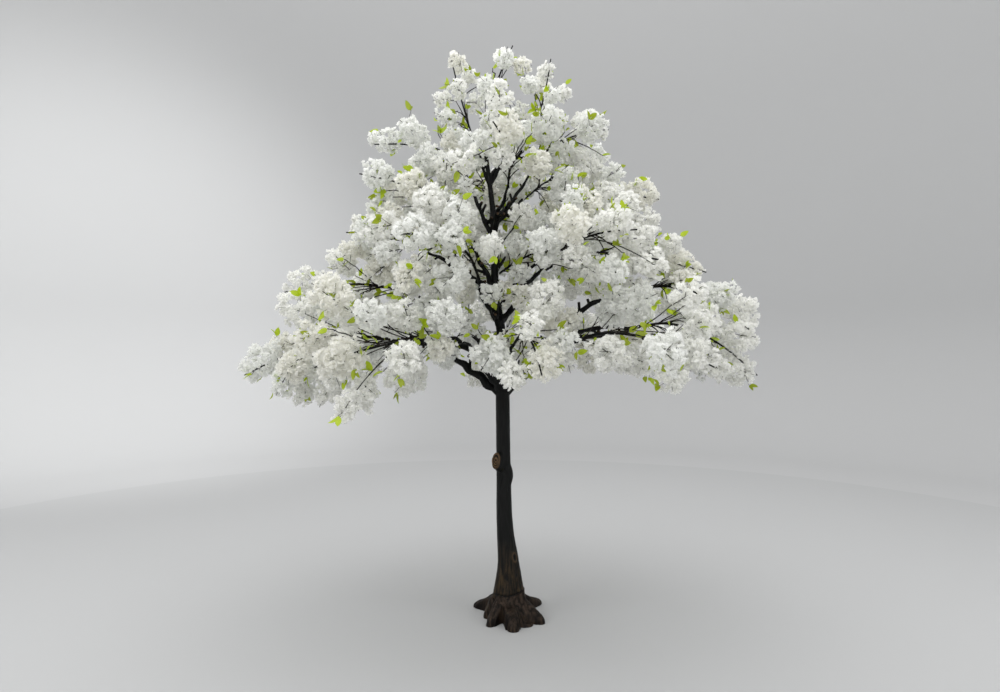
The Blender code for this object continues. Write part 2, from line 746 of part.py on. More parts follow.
def make_trunk(material):
    """The trunk, whole up to the leader's tip, with its knot and swelling joined on."""
    trunk = trunk_tube("trunk", 0.0, material)
    parts = helpers("trunk_parts")
    knot_stub(material, parts)
    swelling(material, parts)
    apply_boolean(trunk, "UNION", parts)
    return trunk


def root_rings(root):
    """The rings of one root: from the collar's shoulder down and out to its toe.

    The toe reaches a little below the floor, where the flat cut takes it off, so that it stands flat.
    """
    half_width, height = ROOT_SHOULDER
    start = place(root.azimuth, ROOT_START, height)
    bend = place(root.azimuth, *ROOT_BEND)
    toe_radius = root.half_width * ROOT_TOE_SHARES[0]
    toe = place(root.azimuth, root.reach, min(root.toe_height - toe_radius, toe_radius - ROOT_SUNK))
    path = quadratic(start, bend, toe, np.linspace(0, 1, ROOT_STATIONS))
    shares = np.linspace(0, 1, ROOT_STATIONS)
    radii = half_width + (root.half_width - half_width) * np.sqrt(shares)
    radii[-1] *= ROOT_TOE_SHARES[0]
    radii[-2] *= ROOT_TOE_SHARES[1]
    return rings_along(path, radii, ROOT_SIDES)


def make_foot(material):
    """The foot: a collar and its roots joined, and cut flat where it stands on the floor."""
    turns = np.linspace(0, 2 * math.pi, COLLAR_SIDES, endpoint=False)
    circle = np.column_stack([np.cos(turns), np.sin(turns)])
    rings = [
        np.column_stack([circle * radius, np.full(COLLAR_SIDES, height)])
        for radius, height in zip(COLLAR_RADII, COLLAR_HEIGHTS)
    ]
    bm = bmesh.new()
    add_lofted(bm, rings[::-1])
    foot = object_from("root_foot", bm, material)
    parts = helpers("foot_parts")
    for root in ROOTS:
        bm = bmesh.new()
        add_lofted(bm, root_rings(root))
        object_from("root", bm, material, parts)
    apply_boolean(foot, "UNION", parts)
    bm = bmesh.new()
    bm.from_mesh(foot.data)
    everything = bm.verts[:] + bm.edges[:] + bm.faces[:]
    cut = bmesh.ops.bisect_plane(
        bm, geom=everything, plane_co=(0, 0, 0), plane_no=(0, 0, -1), clear_outer=True
    )
    edges = [item for item in cut["geom_cut"] if isinstance(item, bmesh.types.BMEdge)]
    bmesh.ops.contextual_create(bm, geom=edges)
    bmesh.ops.recalc_face_normals(bm, faces=bm.faces[:])
    bm.to_mesh(foot.data)
    bm.free()
    return foot


def bough_tube(bough, path, grown, material, collection=None):
    """A bough as a tapering tube, its radius grown by a little for a cutter."""
    radii = tapered(bough.tier.radius, bough.tier.tip, len(path)) + grown
    name = "bough_" + bough.name
    return tube(name, path, radii, LIMB_SIDES, material, collection)


def make_boughs(paths, material):
    """The boughs, each cut clear of the trunk and of the boughs that leave it beside it."""
    made = []
    cutter_growth = GAP / math.cos(math.pi / LIMB_SIDES) + CUTTER_SPARE
    for number, bough in enumerate(BOUGHS):
        obj = bough_tube(bough, paths[bough.name], 0.0, material)
        cutters = helpers("cutters")
        trunk_tube("trunk_cutter", cutter_growth, material, cutters)
        for other in BOUGHS[:number]:
            near = abs(other.start - bough.start) < NEIGHBOUR_HEIGHT
            beside = near and not other.parent and not bough.parent
            if beside or other.name == bough.parent:
                bough_tube(other, paths[other.name], cutter_growth, material, cutters)
        apply_boolean(obj, "DIFFERENCE", cutters)
        made.append(obj)
    return made


def add_bunch(bm, bunch, rng):
    """A bunch as a lumpy ellipsoid of six-sided rings, in one skin with its three-sided twig."""
    across = unit(np.cross(bunch.axis, ANY_DIRECTION))
    start = bunch.centre - bunch.axis * bunch.length
    twig = []
    if bunch.twig is not None:
        path = along(bunch.twig, np.linspace(0, 1, TWIG_STATIONS))[0]
        twig = rings_along(path, tapered(TWIG_RADIUS, TWIG_END_RADIUS, TWIG_STATIONS), TWIG_SIDES)
        across = unit(twig[-1][0] - path[-1])
        across = unit(across - bunch.axis * (across @ bunch.axis))
    other = np.cross(bunch.axis, across)
    sides = 2 * TWIG_SIDES
    turns = np.linspace(0, 2 * math.pi, sides, endpoint=False)
    rings = []
    for k in range(1, BUNCH_RINGS + 1):
        angle = math.pi * k / (BUNCH_RINGS + 1)
        hollows = BUNCH_HOLLOWS * ((np.arange(sides) + k) % 2)
        lumps = 1 - hollows - BUNCH_LUMPS * rng.random(sides)
        spread = bunch.radius * math.sin(angle) ** BUNCH_FULLNESS * lumps
        middle = bunch.centre - bunch.axis * bunch.length * math.cos(angle)
        round_axis = np.cos(turns)[:, None] * across + np.sin(turns)[:, None] * other
        rings.append(middle + round_axis * spread[:, None])
    end = bunch.centre + bunch.axis * bunch.length
    if not twig:
        add_lofted(bm, rings, start, end)
        return
    low = add_lofted(bm, twig, open_end=True)
    high = add_lofted(bm, rings, end=end, open_start=True)
    for i in range(TWIG_SIDES):
        j = (i + 1) % TWIG_SIDES
        left, middle, right = high[2 * i], high[2 * i + 1], high[(2 * i + 2) % sides]
        for corners in ((low[i], middle, left), (low[i], low[j], middle), (low[j], right, middle)):
            bm.faces.new(corners)
    bmesh.ops.recalc_face_normals(bm, faces=bm.faces[:])


def add_leaf(bm, root, direction, out):
    """A leaf of eight faces: a blade folded a little along its rib, its root sunk in the twig."""
    side = unit(np.cross(direction, out))
    up = np.cross(side, direction)
    middle = root + direction * LEAF_LENGTH * LEAF_WIDEST
    half, thick = side * LEAF_WIDTH / 2, up * LEAF_THICKNESS / 2
    fold = up * LEAF_WIDTH * LEAF_FOLD
    base = bm.verts.new(root - direction * LEAF_SINK)
    tip = bm.verts.new(root + direction * LEAF_LENGTH)
    left, right = bm.verts.new(middle + half + fold), bm.verts.new(middle - half + fold)
    top, bottom = bm.verts.new(middle + thick), bm.verts.new(middle - thick)
    for a, b, c in ((base, top, left), (left, top, tip), (tip, top, right), (right, top, base)):
        bm.faces.new((a, c, b))
    for a, b, c in ((base, bottom, left), (left, bottom, tip), (tip, bottom, right), (right, bottom, base)):
        bm.faces.new((a, b, c))
    bmesh.ops.recalc_face_normals(bm, faces=bm.faces[:])


def make_mass(mass, material):
    """One mass: its stem joined with its twigs, bunches and leaves."""
    rng = np.random.default_rng((SEED, mass.number))
    radii = tapered(mass.stem_radius, STEM_END_RADIUS, STEM_POINTS)
    name = "blossom_" + mass.name
    stem = tube(name, mass.stem, radii, STEM_SIDES, material, first=mass.direction)
    parts = helpers("mass_parts")
    for bunch in mass.bunches:
        bm = bmesh.new()
        add_bunch(bm, bunch, rng)
        object_from("bunch", bm, material, parts)
    for leaf in mass.leaves:
        bm = bmesh.new()
        add_leaf(bm, *leaf)
        object_from("leaf", bm, material, parts)
    apply_boolean(stem, "UNION", parts)
    return stem


def make_material(name, colour, roughness):
    """A plain matte finish."""
    material = bpy.data.materials.new(name)
    material.use_nodes = True
    shader = material.node_tree.nodes["Principled BSDF"]
    shader.inputs["Base Color"].default_value = (*colour, 1.0)
    shader.inputs["Roughness"].default_value = roughness
    material.diffuse_color = (*colour, 1.0)
    return material


def main():
    """Clears the scene and builds the tree."""
    for obj in list(bpy.data.objects):
        bpy.data.objects.remove(obj)
    bark = make_material("bark", BARK, 0.75)
    foot_bark = make_material("foot_bark", FOOT_BARK, 0.7)
    blossom = make_material("blossom", BLOSSOM, 0.9)
    paths, masses = grow()
    wood = [make_foot(foot_bark), make_trunk(bark), *make_boughs(paths, bark)]
    for obj in wood:
        obj.data.shade_smooth()
        obj.data.set_sharp_from_angle(angle=math.radians(50))
    for mass in masses:
        make_mass(mass, blossom)


main()
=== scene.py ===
"""Dressing of an artificial flowering tree: white blossom, a moulded trunk and a root-shaped foot.

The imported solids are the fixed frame, in metres, with +Z up and the tree facing -Y. The crown is grown
again by the rule of the source, with the same seed and the same draws, so that each stem, twig and
bunch stands where its solid does. From there it is carried on to spines, side twigs, stalks, single
flowers and leaves. Finer meshes with the relief of moulded bark replace the trunk, boughs and foot.
"""

import json
import logging
import math
from dataclasses import dataclass, field, replace
from enum import Enum
from itertools import combinations

import bpy
import numpy as np
from numpy.typing import NDArray
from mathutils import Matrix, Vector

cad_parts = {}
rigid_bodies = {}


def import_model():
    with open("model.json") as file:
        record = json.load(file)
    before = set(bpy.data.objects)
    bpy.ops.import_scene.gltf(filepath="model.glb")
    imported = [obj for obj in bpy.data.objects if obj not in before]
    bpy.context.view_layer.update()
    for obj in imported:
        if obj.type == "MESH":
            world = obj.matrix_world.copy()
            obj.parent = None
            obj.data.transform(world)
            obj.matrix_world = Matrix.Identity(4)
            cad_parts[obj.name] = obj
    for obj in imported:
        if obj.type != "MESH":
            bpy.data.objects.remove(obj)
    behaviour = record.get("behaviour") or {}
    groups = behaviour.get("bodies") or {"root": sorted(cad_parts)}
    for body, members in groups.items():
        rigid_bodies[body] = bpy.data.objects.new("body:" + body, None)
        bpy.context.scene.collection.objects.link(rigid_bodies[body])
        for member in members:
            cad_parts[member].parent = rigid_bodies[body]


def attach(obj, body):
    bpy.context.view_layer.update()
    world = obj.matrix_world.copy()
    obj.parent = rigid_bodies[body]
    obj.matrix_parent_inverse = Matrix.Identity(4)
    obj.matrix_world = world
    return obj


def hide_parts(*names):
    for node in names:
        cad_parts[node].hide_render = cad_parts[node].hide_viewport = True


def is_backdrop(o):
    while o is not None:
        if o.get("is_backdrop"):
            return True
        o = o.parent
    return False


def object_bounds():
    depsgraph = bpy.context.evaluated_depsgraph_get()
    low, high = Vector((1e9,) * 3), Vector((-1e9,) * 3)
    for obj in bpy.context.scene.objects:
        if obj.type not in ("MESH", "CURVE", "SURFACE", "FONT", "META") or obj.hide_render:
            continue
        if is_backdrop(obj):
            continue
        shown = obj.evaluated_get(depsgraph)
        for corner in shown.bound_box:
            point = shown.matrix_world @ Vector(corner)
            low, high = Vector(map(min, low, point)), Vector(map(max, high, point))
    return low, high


Floats = NDArray[np.float64]
Ints = NDArray[np.int64]
Flags = NDArray[np.bool_]
Pair = tuple[float, float]
Triple = tuple[float, float, float]
Box = tuple[tuple[float, ...], tuple[float, ...]]
Draws = np.random.Generator
Socket = bpy.types.NodeSocket
NodeTree = bpy.types.NodeTree

log = logging.getLogger("tree")

BODY = "root"
# The seed of the source
SEED = 32
# Where the photograph was taken from
EYE = (-0.047, -3.64, 1.42)
# Between a limb's tip and the stem that goes on from it
GAP = 0.0003
# Masses smaller than this, by the top of the crown, are sparse
AIRY_SIZE = 0.8
# A direction that no limb runs along, to start rings from
ANY_DIRECTION = (0.31, 0.52, 0.79)
GOLDEN_TURN = math.pi * (3 - math.sqrt(5))


# Curves and directions


def unit(vectors: Floats) -> Floats:
    """The vectors, each scaled to length one."""
    return vectors / np.linalg.norm(vectors, axis=-1, keepdims=True)


def heading(azimuth: float, rise: float = 0.0) -> Floats:
    """The direction at an azimuth from +X towards +Y and a rise above the level, in degrees."""
    turn, up = math.radians(azimuth), math.radians(rise)
    return np.array([math.cos(turn) * math.cos(up), math.sin(turn) * math.cos(up), math.sin(up)])


def place(azimuth: float, reach: float, height: float) -> Floats:
    """The point at an azimuth, a reach from the middle and a height."""
    return heading(azimuth) * reach + np.array([0.0, 0.0, height])


def ring_turns(sides: int) -> Floats:
    """The turns of a ring's points, in radians."""
    return np.linspace(0, 2 * math.pi, sides, endpoint=False)


def turns_from(turns: Floats, azimuth: float) -> Floats:
    """How far each turn is from an azimuth, in radians from minus pi to pi."""
    return (turns - math.radians(azimuth) + math.pi) % (2 * math.pi) - math.pi


def spun(reach: Floats | float, turns: Floats, heights: Floats) -> Floats:
    """Points at a reach from the Z axis, at these turns about it and at these heights."""
    return np.stack(np.broadcast_arrays(reach * np.cos(turns), reach * np.sin(turns), heights), axis=-1)


def straight(starts: Floats, ends: Floats, count: int) -> Floats:
    """Straight lines of points from the starts to the ends."""
    return starts[:, None] + (ends - starts)[:, None] * np.linspace(0, 1, count)[:, None]


def smooth(knots: tuple[float, ...], values: tuple[float, ...], at: Floats | float) -> Floats:
    """A curve through the values at the knots: a cubic on each span, with the mean slopes.

    Args:
        knots: Where the values hold, in rising order.
        values: The values there.
        at: Where the curve is read. Outside the knots it keeps the end values.

    Returns:
        The curve's values.
    """
    knots, values = np.asarray(knots), np.asarray(values)
    slopes = np.gradient(values, knots)
    at = np.clip(at, knots[0], knots[-1])
    low = np.clip(np.searchsorted(knots, at, side="right") - 1, 0, len(knots) - 2)
    span = knots[low + 1] - knots[low]
    t = (at - knots[low]) / span
    rise = values[low + 1] - values[low]
    start, end = slopes[low] * span, slopes[low + 1] * span
    return values[low] + t * start + t**2 * (3 * rise - 2 * start - end) + t**3 * (start + end - 2 * rise)


def cubic(start: Floats, first: Floats, second: Floats, end: Floats, shares: Floats) -> Floats:
    """Points of a cubic Bezier curve at shares of its parameter."""
    t = np.asarray(shares)[:, None]
    return (1 - t) ** 3 * start + 3 * (1 - t) ** 2 * t * first + 3 * (1 - t) * t**2 * second + t**3 * end


def quadratic(start: Floats, handle: Floats, end: Floats, shares: Floats) -> Floats:
    """Points of quadratic Bezier curves, one or many at once."""
    t = np.asarray(shares)[:, None]
    start, handle, end = start[..., None, :], handle[..., None, :], end[..., None, :]
    return (1 - t) ** 2 * start + 2 * (1 - t) * t * handle + t**2 * end


def along(path: Floats, shares: Floats | float) -> tuple[Floats, Floats]:
    """Points at shares of the way along a path of even steps, and the directions there."""
    shares = np.atleast_1d(shares)
    index = np.clip(shares, 0, 1) * (len(path) - 1)
    low = np.minimum(index.astype(int), len(path) - 2)
    part = (index - low)[:, None]
    step = path[low + 1] - path[low]
    return path[low] + step * part, unit(step)


def filled(path: Floats, spacing: float = 0.018) -> Floats:
    """Points close together along a path."""
    length = np.linalg.norm(np.diff(path, axis=0), axis=1).sum()
    return along(path, np.linspace(0, 1, max(2, int(length / spacing))))[0]


def rounded(path: Floats, count: int) -> Floats:
    """A smooth line through a path's points: each coordinate a cubic over the points' numbers."""
    numbers = tuple(np.arange(len(path), dtype=float))
    at = np.linspace(0, len(path) - 1, count)
    return np.column_stack([smooth(numbers, tuple(axis), at) for axis in path.T])


def bell(distance: Floats, width: float) -> Floats:
    """A bump of height one that falls off with distance as a Gaussian of this width."""
    return np.exp(-((distance / width) ** 2))


def ramp(values: Floats, low: float, high: float) -> Floats:
    """Zero below low and one above high, with a smooth step between."""
    t = np.clip((values - low) / (high - low), 0, 1)
    return t * t * (3 - 2 * t)


def lattice_noise(points: Floats, seed: int) -> Floats:
    """Smooth noise from -1 to 1: random values on the whole-number lattice, blended by smooth steps.

    Args:
        points: Points of three coordinates, one lattice step apart for each unit.
        seed: Which noise.

    Returns:
        One value for each point.
    """
    # A corner's value is its coordinates and the seed, mixed by large odd factors and by shifts
    cell = np.floor(points).astype(np.int64)
    part = points - cell
    part = part * part * (3 - 2 * part)
    total = np.zeros(points.shape[:-1])
    for corner in np.ndindex(2, 2, 2):
        x, y, z = (cell[..., i] + corner[i] for i in range(3))
        mixed = (x * 374761393 + y * 668265263 + z * 2147483647 + seed * 1274126177) & 0xFFFFFFFF
        mixed = ((mixed ^ (mixed >> 13)) * 1103515245) & 0xFFFFFFFF
        value = ((mixed ^ (mixed >> 16)) & 0xFFFF) / 32767.5 - 1.0
        weight = np.ones(points.shape[:-1])
        for i in range(3):
            weight = weight * (part[..., i] if corner[i] else 1 - part[..., i])
        total += weight * value
    return total


def layered_noise(points: Floats, seed: int, layers: int = 3) -> Floats:
    """Noise with finer layers added, each half as strong and twice as fine as the last."""
    total = np.zeros(points.shape[:-1])
    for layer in range(layers):
        total += lattice_noise(points * 2.0**layer + 17.3 * layer, seed + layer) / 2**layer
    return total / (2 - 2.0 ** (1 - layers))


# Meshes


@dataclass
class Shape:
    """Points and faces of a piece. Faces are arrays with three or four corners in a row."""

    points: Floats
    faces: list[Ints]
    masks: dict[str, Floats] = field(default_factory=dict)

    @staticmethod
    def joined(shapes: list["Shape"]) -> "Shape":
        """Several shapes as one, with the masks that they share."""
        faces: list[Ints] = []
        start = 0
        for shape in shapes:
            faces += [rows + start for rows in shape.faces]
            start += len(shape.points)
        masks = {name: np.concatenate([s.masks[name] for s in shapes]) for name in shapes[0].masks}
        return Shape(np.concatenate([s.points for s in shapes]), faces, masks)

    def triangles(self) -> int:
        """How many triangles the faces come to."""
        return sum(len(rows) * (rows.shape[1] - 2) for rows in self.faces)

    def bark(self, dark_tone_and_shade: Floats | float = 0.0, cut: Floats | float = 0.0, cut_end: float = 0.0) -> "Shape":
        """The same shape with the masks of bark: one value for all, or one for each point of its rings.

        Args:
            dark_tone_and_shade: How dark each point is painted: painted shade where it lies deep in a furrow,
                crease or groove, and elsewhere a darker tone.
            cut: How freshly sawn it is.
            cut_end: How freshly sawn the middle of the far end is.

        Returns:
            The shape itself.
        """
        for name, values, end in (("dark_tone_and_shade", dark_tone_and_shade, 0.0), ("cut", cut, cut_end)):
            if isinstance(values, float):
                self.masks[name] = np.full(len(self.points), values)
            else:
                self.masks[name] = np.concatenate([values.ravel(), [0.0, end]])
        return self


def make_object(name: str, shape: Shape, material: bpy.types.Material) -> bpy.types.Object:
    """A new object at the origin with the shape's mesh, its masks as point attributes.

    Args:
        name: The piece's name.
        shape: Its points, faces and masks.
        material: Its finish.

    Returns:
        The object, in the scene.
    """
    mesh = bpy.data.meshes.new(name)
    corners = np.concatenate([rows.ravel() for rows in shape.faces]).astype(np.int32)
    sizes = np.concatenate([np.full(len(rows), rows.shape[1]) for rows in shape.faces])
    starts = np.concatenate([[0], np.cumsum(sizes)[:-1]]).astype(np.int32)
    mesh.vertices.add(len(shape.points))
    mesh.vertices.foreach_set("co", shape.points.astype(np.float32).ravel())
    mesh.loops.add(len(corners))
    mesh.loops.foreach_set("vertex_index", corners)
    mesh.polygons.add(len(starts))
    mesh.polygons.foreach_set("loop_start", starts)
    mesh.polygons.foreach_set("use_smooth", np.ones(len(starts), bool))
    mesh.update(calc_edges=True)
    for mask, values in shape.masks.items():
        attribute = mesh.attributes.new(mask, "FLOAT", "POINT")
        attribute.data.foreach_set("value", values.astype(np.float32))
    mesh.materials.append(material)
    obj = bpy.data.objects.new(name, mesh)
    bpy.context.scene.collection.objects.link(obj)
    return obj


def tube_rings(paths: Floats, radii: Floats, sides: int, first: Floats | None = None) -> Floats:
    """Rings round many paths at once, square to them and without twist.

    A ring's points are the path's point plus the radius times cosine and sine of the turn along two
    directions across the path, which are carried on from ring to ring.

    Args:
        paths: Lines of points, as (line, point, axis).
        radii: As (line, point), or (line, point, side) for rings that aren't round.
        sides: Points in a ring.
        first: The direction that the first ring is square to.

    Returns:
        Points as (line, point, side, axis).
    """
    tangents = np.gradient(paths, axis=1)
    if first is not None:
        tangents[:, 0] = first
    tangents = unit(tangents)
    if radii.ndim == 2:
        radii = np.repeat(radii[..., None], sides, axis=2)
    turns = ring_turns(sides)
    across = unit(np.cross(tangents[:, 0], ANY_DIRECTION))
    rings = np.empty((*radii.shape, 3))
    for k in range(paths.shape[1]):
        tangent = tangents[:, k]
        across = unit(across - tangent * (across * tangent).sum(axis=-1, keepdims=True))
        other = np.cross(tangent, across)
        spokes = np.cos(turns)[:, None] * across[:, None] + np.sin(turns)[:, None] * other[:, None]
        rings[:, k] = paths[:, k, None] + radii[:, k, :, None] * spokes
    return rings


def ring_quads(stations: int, sides: int) -> Ints:
    """The four-cornered faces between rings whose points follow one another."""
    k, i = np.meshgrid(np.arange(stations - 1), np.arange(sides), indexing="ij")
    j = (i + 1) % sides
    corners = [k * sides + i, k * sides + j, (k + 1) * sides + j, (k + 1) * sides + i]
    return np.stack(corners, axis=-1).reshape(-1, 4)


def skin(rings: Floats) -> Shape:
    """The closed skin over rings: four-cornered faces between them, and a fan over each end."""
    lines, stations, sides, _ = rings.shape
    count = stations * sides
    offsets = (np.arange(lines) * (count + 2))[:, None, None]
    quads = ring_quads(stations, sides)[None] + offsets
    i = np.arange(sides)
    j = (i + 1) % sides
    low = np.stack([j, i, np.full(sides, count)], axis=-1)
    high = np.stack([count - sides + i, count - sides + j, np.full(sides, count + 1)], axis=-1)
    fans = np.concatenate([low, high])[None] + offsets
    poles = rings[:, [0, -1]].mean(axis=2)
    points = np.concatenate([rings.reshape(lines, count, 3), poles], axis=1).reshape(-1, 3)
    return Shape(points, [quads.reshape(-1, 4), fans.reshape(-1, 3)])


def tubes(paths: Floats, radii: Floats, sides: int) -> Shape:
    """Closed tubes along many paths of the same number of points."""
    return skin(tube_rings(paths, radii, sides))


# The growth rule of the source, with the same numbers and the same draws


@dataclass(frozen=True)
class TrunkLine:
    """The line and the thickness of the trunk, from the seam on the foot to the leader's tip."""

    seam: float = 0.125
    fork: float = 1.24
    top: float = 2.42
    radius: float = 0.0355
    flare: float = 0.045
    flare_fade: float = 0.19
    leader: float = 0.0285
    leader_tip: float = 0.0105
    blend: float = 0.06
    heights: tuple[float, ...] = (0.10, 0.28, 0.45, 0.70, 1.15, 1.50, 1.66, 2.10, 2.42)
    lean_x: tuple[float, ...] = (0.0, -0.003, -0.020, -0.027, -0.033, -0.042, -0.066, -0.082, -0.120)
    lean_y: tuple[float, ...] = (0.0, 0.0, 0.0, 0.004, 0.0, -0.012, -0.008, 0.008, 0.0)

    def points(self, heights: Floats) -> Floats:
        """The middle of the trunk at many heights."""
        x, y = smooth(self.heights, self.lean_x, heights), smooth(self.heights, self.lean_y, heights)
        return np.column_stack([x, y, heights])

    def point(self, height: float) -> Floats:
        """The middle of the trunk at a height."""
        return self.points(np.array([height]))[0]

    def radii(self, heights: Floats) -> Floats:
        """The radius: even with a flare at the foot, narrowing to the leader above the fork."""
        trunk = self.radius + self.flare * np.exp(-(heights - self.seam) / self.flare_fade)
        climbed = (heights - self.fork) / (self.top - self.fork)
        leader = self.leader + (self.leader_tip - self.leader) * climbed
        share = 1 / (1 + np.exp(-(heights - self.fork) / (self.blend / 4)))
        return trunk + (leader - trunk) * share


TRUNK = TrunkLine()


@dataclass(frozen=True)
class Tier:
    """What the boughs at one level have in common; launch and arrive are rises in degrees."""

    radius: float
    tip: float
    launch: float
    arrive: float
    width: float
    droop: float
    size: float = 1.0


@dataclass(frozen=True)
class Bough:
    """One bough and the mass of blossom at its tip.

    start is a height on the trunk, or the share of the way along the parent bough. The tip is at
    azimuth, reach and height; the mass reaches on to far_reach and far_height, turned by swing.
    """

    name: str
    tier: Tier
    start: float
    azimuth: float
    reach: float
    height: float
    far_reach: float
    far_height: float
    bunches: int
    swing: float = 0.0
    parent: str = ""


@dataclass(frozen=True)
class InnerMass:
    """A mass of blossom whose stem leaves the trunk itself."""

    name: str
    start: float
    azimuth: float
    far_reach: float
    far_height: float
    bunches: int
    width: float
    size: float = 0.95


LOW = Tier(radius=0.020, tip=0.0095, launch=36, arrive=-5, width=0.25, droop=0.08, size=1.06)
SIDE = Tier(radius=0.011, tip=0.007, launch=8, arrive=-4, width=0.22, droop=0.05)
RISING = Tier(radius=0.017, tip=0.008, launch=70, arrive=38, width=0.24, droop=0.05)
MIDDLE = Tier(radius=0.0135, tip=0.007, launch=38, arrive=28, width=0.21, droop=0.05)
STEEP = Tier(radius=0.011, tip=0.006, launch=62, arrive=66, width=0.20, droop=0.05, size=0.95)
UPPER = Tier(radius=0.010, tip=0.0055, launch=52, arrive=45, width=0.19, droop=0.04, size=0.9)
TOP = Tier(radius=0.0075, tip=0.0045, launch=74, arrive=60, width=0.15, droop=0.0, size=0.68)

BOUGHS = (
    Bough("low_left", LOW, 1.165, 184, 0.57, 1.445, 1.36, 1.27, 9),
    Bough("low_right", LOW, 1.165, 2, 0.66, 1.70, 1.29, 1.50, 7),
    Bough("right_side", SIDE, 0.46, -2, 0.70, 1.525, 1.27, 1.27, 7, swing=-3, parent="low_right"),
    Bough("high_left", RISING, 1.225, 172, 0.30, 1.565, 1.21, 1.71, 8, swing=4),
    Bough("front_left", LOW, 1.19, 228, 0.42, 1.42, 1.12, 1.33, 6, swing=-5),
    Bough("front", MIDDLE, 1.23, 275, 0.26, 1.43, 0.80, 1.30, 5, swing=4),
    Bough("front_right", LOW, 1.18, 316, 0.44, 1.44, 1.12, 1.33, 6, swing=4),
    Bough("back_left", LOW, 1.20, 136, 0.50, 1.46, 1.22, 1.33, 7, swing=4),
    Bough("back", LOW, 1.22, 92, 0.46, 1.48, 1.08, 1.38, 7),
    Bough("back_right", LOW, 1.21, 46, 0.50, 1.46, 1.22, 1.35, 7, swing=-4),
    Bough("mid_left", MIDDLE, 1.69, 182, 0.42, 1.905, 0.86, 2.02, 6, swing=-3),
    Bough("mid_left_up", STEEP, 1.71, 205, 0.22, 1.95, 0.78, 2.26, 5, swing=-5),
    Bough("mid_right", STEEP, 1.62, 5, 0.30, 2.05, 0.80, 2.20, 6, swing=-2),
    Bough("mid_right_out", SIDE, 0.55, 0, 0.40, 1.91, 1.02, 1.80, 6, swing=-4, parent="mid_right"),
    Bough("mid_front_left", MIDDLE, 1.52, 235, 0.28, 1.78, 0.84, 1.90, 6, swing=-3),
    Bough("mid_front_right", MIDDLE, 1.55, 305, 0.28, 1.80, 0.86, 1.92, 6, swing=4),
    Bough("mid_back_left", MIDDLE, 1.50, 128, 0.36, 1.84, 0.96, 1.92, 6, swing=-4),
    Bough("mid_back_right", MIDDLE, 1.54, 50, 0.36, 1.86, 0.96, 1.92, 6, swing=4),
    Bough("upper_left", STEEP, 1.98, 180, 0.195, 2.25, 0.72, 2.48, 6),
    Bough("upper_right", STEEP, 2.06, 10, 0.10, 2.31, 0.53, 2.57, 6, swing=-6),
    Bough("upper_front", UPPER, 2.02, 268, 0.20, 2.22, 0.56, 2.42, 5, swing=-6),
    Bough("upper_back_left", UPPER, 2.00, 118, 0.22, 2.24, 0.64, 2.42, 5, swing=-6),
    Bough("upper_back_right", UPPER, 2.04, 56, 0.22, 2.26, 0.64, 2.44, 5, swing=-8),
    Bough("top_left", TOP, 2.22, 184, 0.17, 2.46, 0.31, 2.96, 6),
    Bough("top_right", TOP, 2.26, 5, 0.10, 2.50, 0.22, 2.93, 6, swing=-5),
    Bough("top_back", TOP, 2.28, 85, 0.10, 2.50, 0.34, 2.74, 5),
)

INNER_MASSES = (
    InnerMass("inner_left", 1.42, 196, 0.52, 1.66, 4, 0.18),
    InnerMass("inner_right", 1.80, 338, 0.44, 1.98, 3, 0.16),
    InnerMass("inner_back", 1.74, 92, 0.44, 1.98, 4, 0.17),
    InnerMass("inner_front", 1.34, 255, 0.40, 1.40, 3, 0.16),
)
LEADER_MASS = InnerMass("top", TRUNK.top, 0, 0.02, 3.0, 8, 0.15, 0.68)
# Stems off the leader for finer bunches alone, which count with a mass of the source: two fill the
# crown behind it, where no sky shows, and two hide it in front, where it doesn't show
FINER_STEMS = (
    ("inner_back", InnerMass("behind_low", 1.82, 70, 0.40, 2.12, 6, 0.17)),
    ("upper_back_right", InnerMass("behind_high", 2.02, 84, 0.33, 2.34, 6, 0.15)),
    ("mid_front_left", InnerMass("before_low", 1.56, 262, 0.26, 1.70, 3, 0.12)),
    ("upper_front", InnerMass("before_high", 1.86, 275, 0.24, 2.00, 3, 0.12)),
)


@dataclass
class Bunch:
    """A bunch of blossom on its twig: an ellipsoid of half-length length and half-width radius."""

    centre: Floats
    axis: Floats
    length: float
    radius: float
    twig: Floats | None


@dataclass
class LeafPlace:
    """Where a leaf stands on its twig: its root, its direction, and the way out from the twig."""

    root: Floats
    direction: Floats
    out: Floats


@dataclass
class Mass:
    """A mass of blossom: its stem, and the bunches and leaves that grew on it."""

    name: str
    number: int
    stem: Floats
    stem_radius: float
    wanted: int
    width: float
    size: float
    bunches: list[Bunch] = field(default_factory=list)
    leaves: list[LeafPlace] = field(default_factory=list)

    @property
    def is_airy(self) -> bool:
        """Whether it is one of the small, sparse masses by the top of the crown."""
        return self.size < AIRY_SIZE


@dataclass
class Space:
    """The room that is taken: balls along every limb, twig and bunch, each with its owner."""

    clearance: float
    balls: Floats = field(default_factory=lambda: np.zeros((0, 4)))
    owners: Ints = field(default_factory=lambda: np.zeros(0, int))

    def add(self, points: Floats, radii: Floats | float, owner: int) -> None:
        """Takes the room of balls of these radii round these points."""
        balls = np.column_stack([points, np.broadcast_to(radii, len(points))])
        self.balls = np.concatenate([self.balls, balls])
        self.owners = np.concatenate([self.owners, np.full(len(balls), owner)])

    def is_clear(self, points: Floats, radii: Floats | float, owner: int | None = None) -> Flags:
        """For tries of several balls each: whether every ball keeps clear of what others own."""
        middle = points.mean(axis=(0, 1))
        within = np.linalg.norm(points - middle, axis=-1).max() + np.max(radii) + self.clearance
        away = np.linalg.norm(self.balls[:, :3] - middle, axis=1) - self.balls[:, 3]
        others = np.ones(len(self.owners), bool) if owner is None else self.owners != owner
        near = self.balls[others & (away < within)]
        if not len(near):
            return np.ones(len(points), bool)
        apart = np.linalg.norm(points[:, :, None] - near[:, :3], axis=-1)
        room = apart - np.asarray(radii)[..., None] - near[:, 3]
        return room.min(axis=(1, 2)) > self.clearance


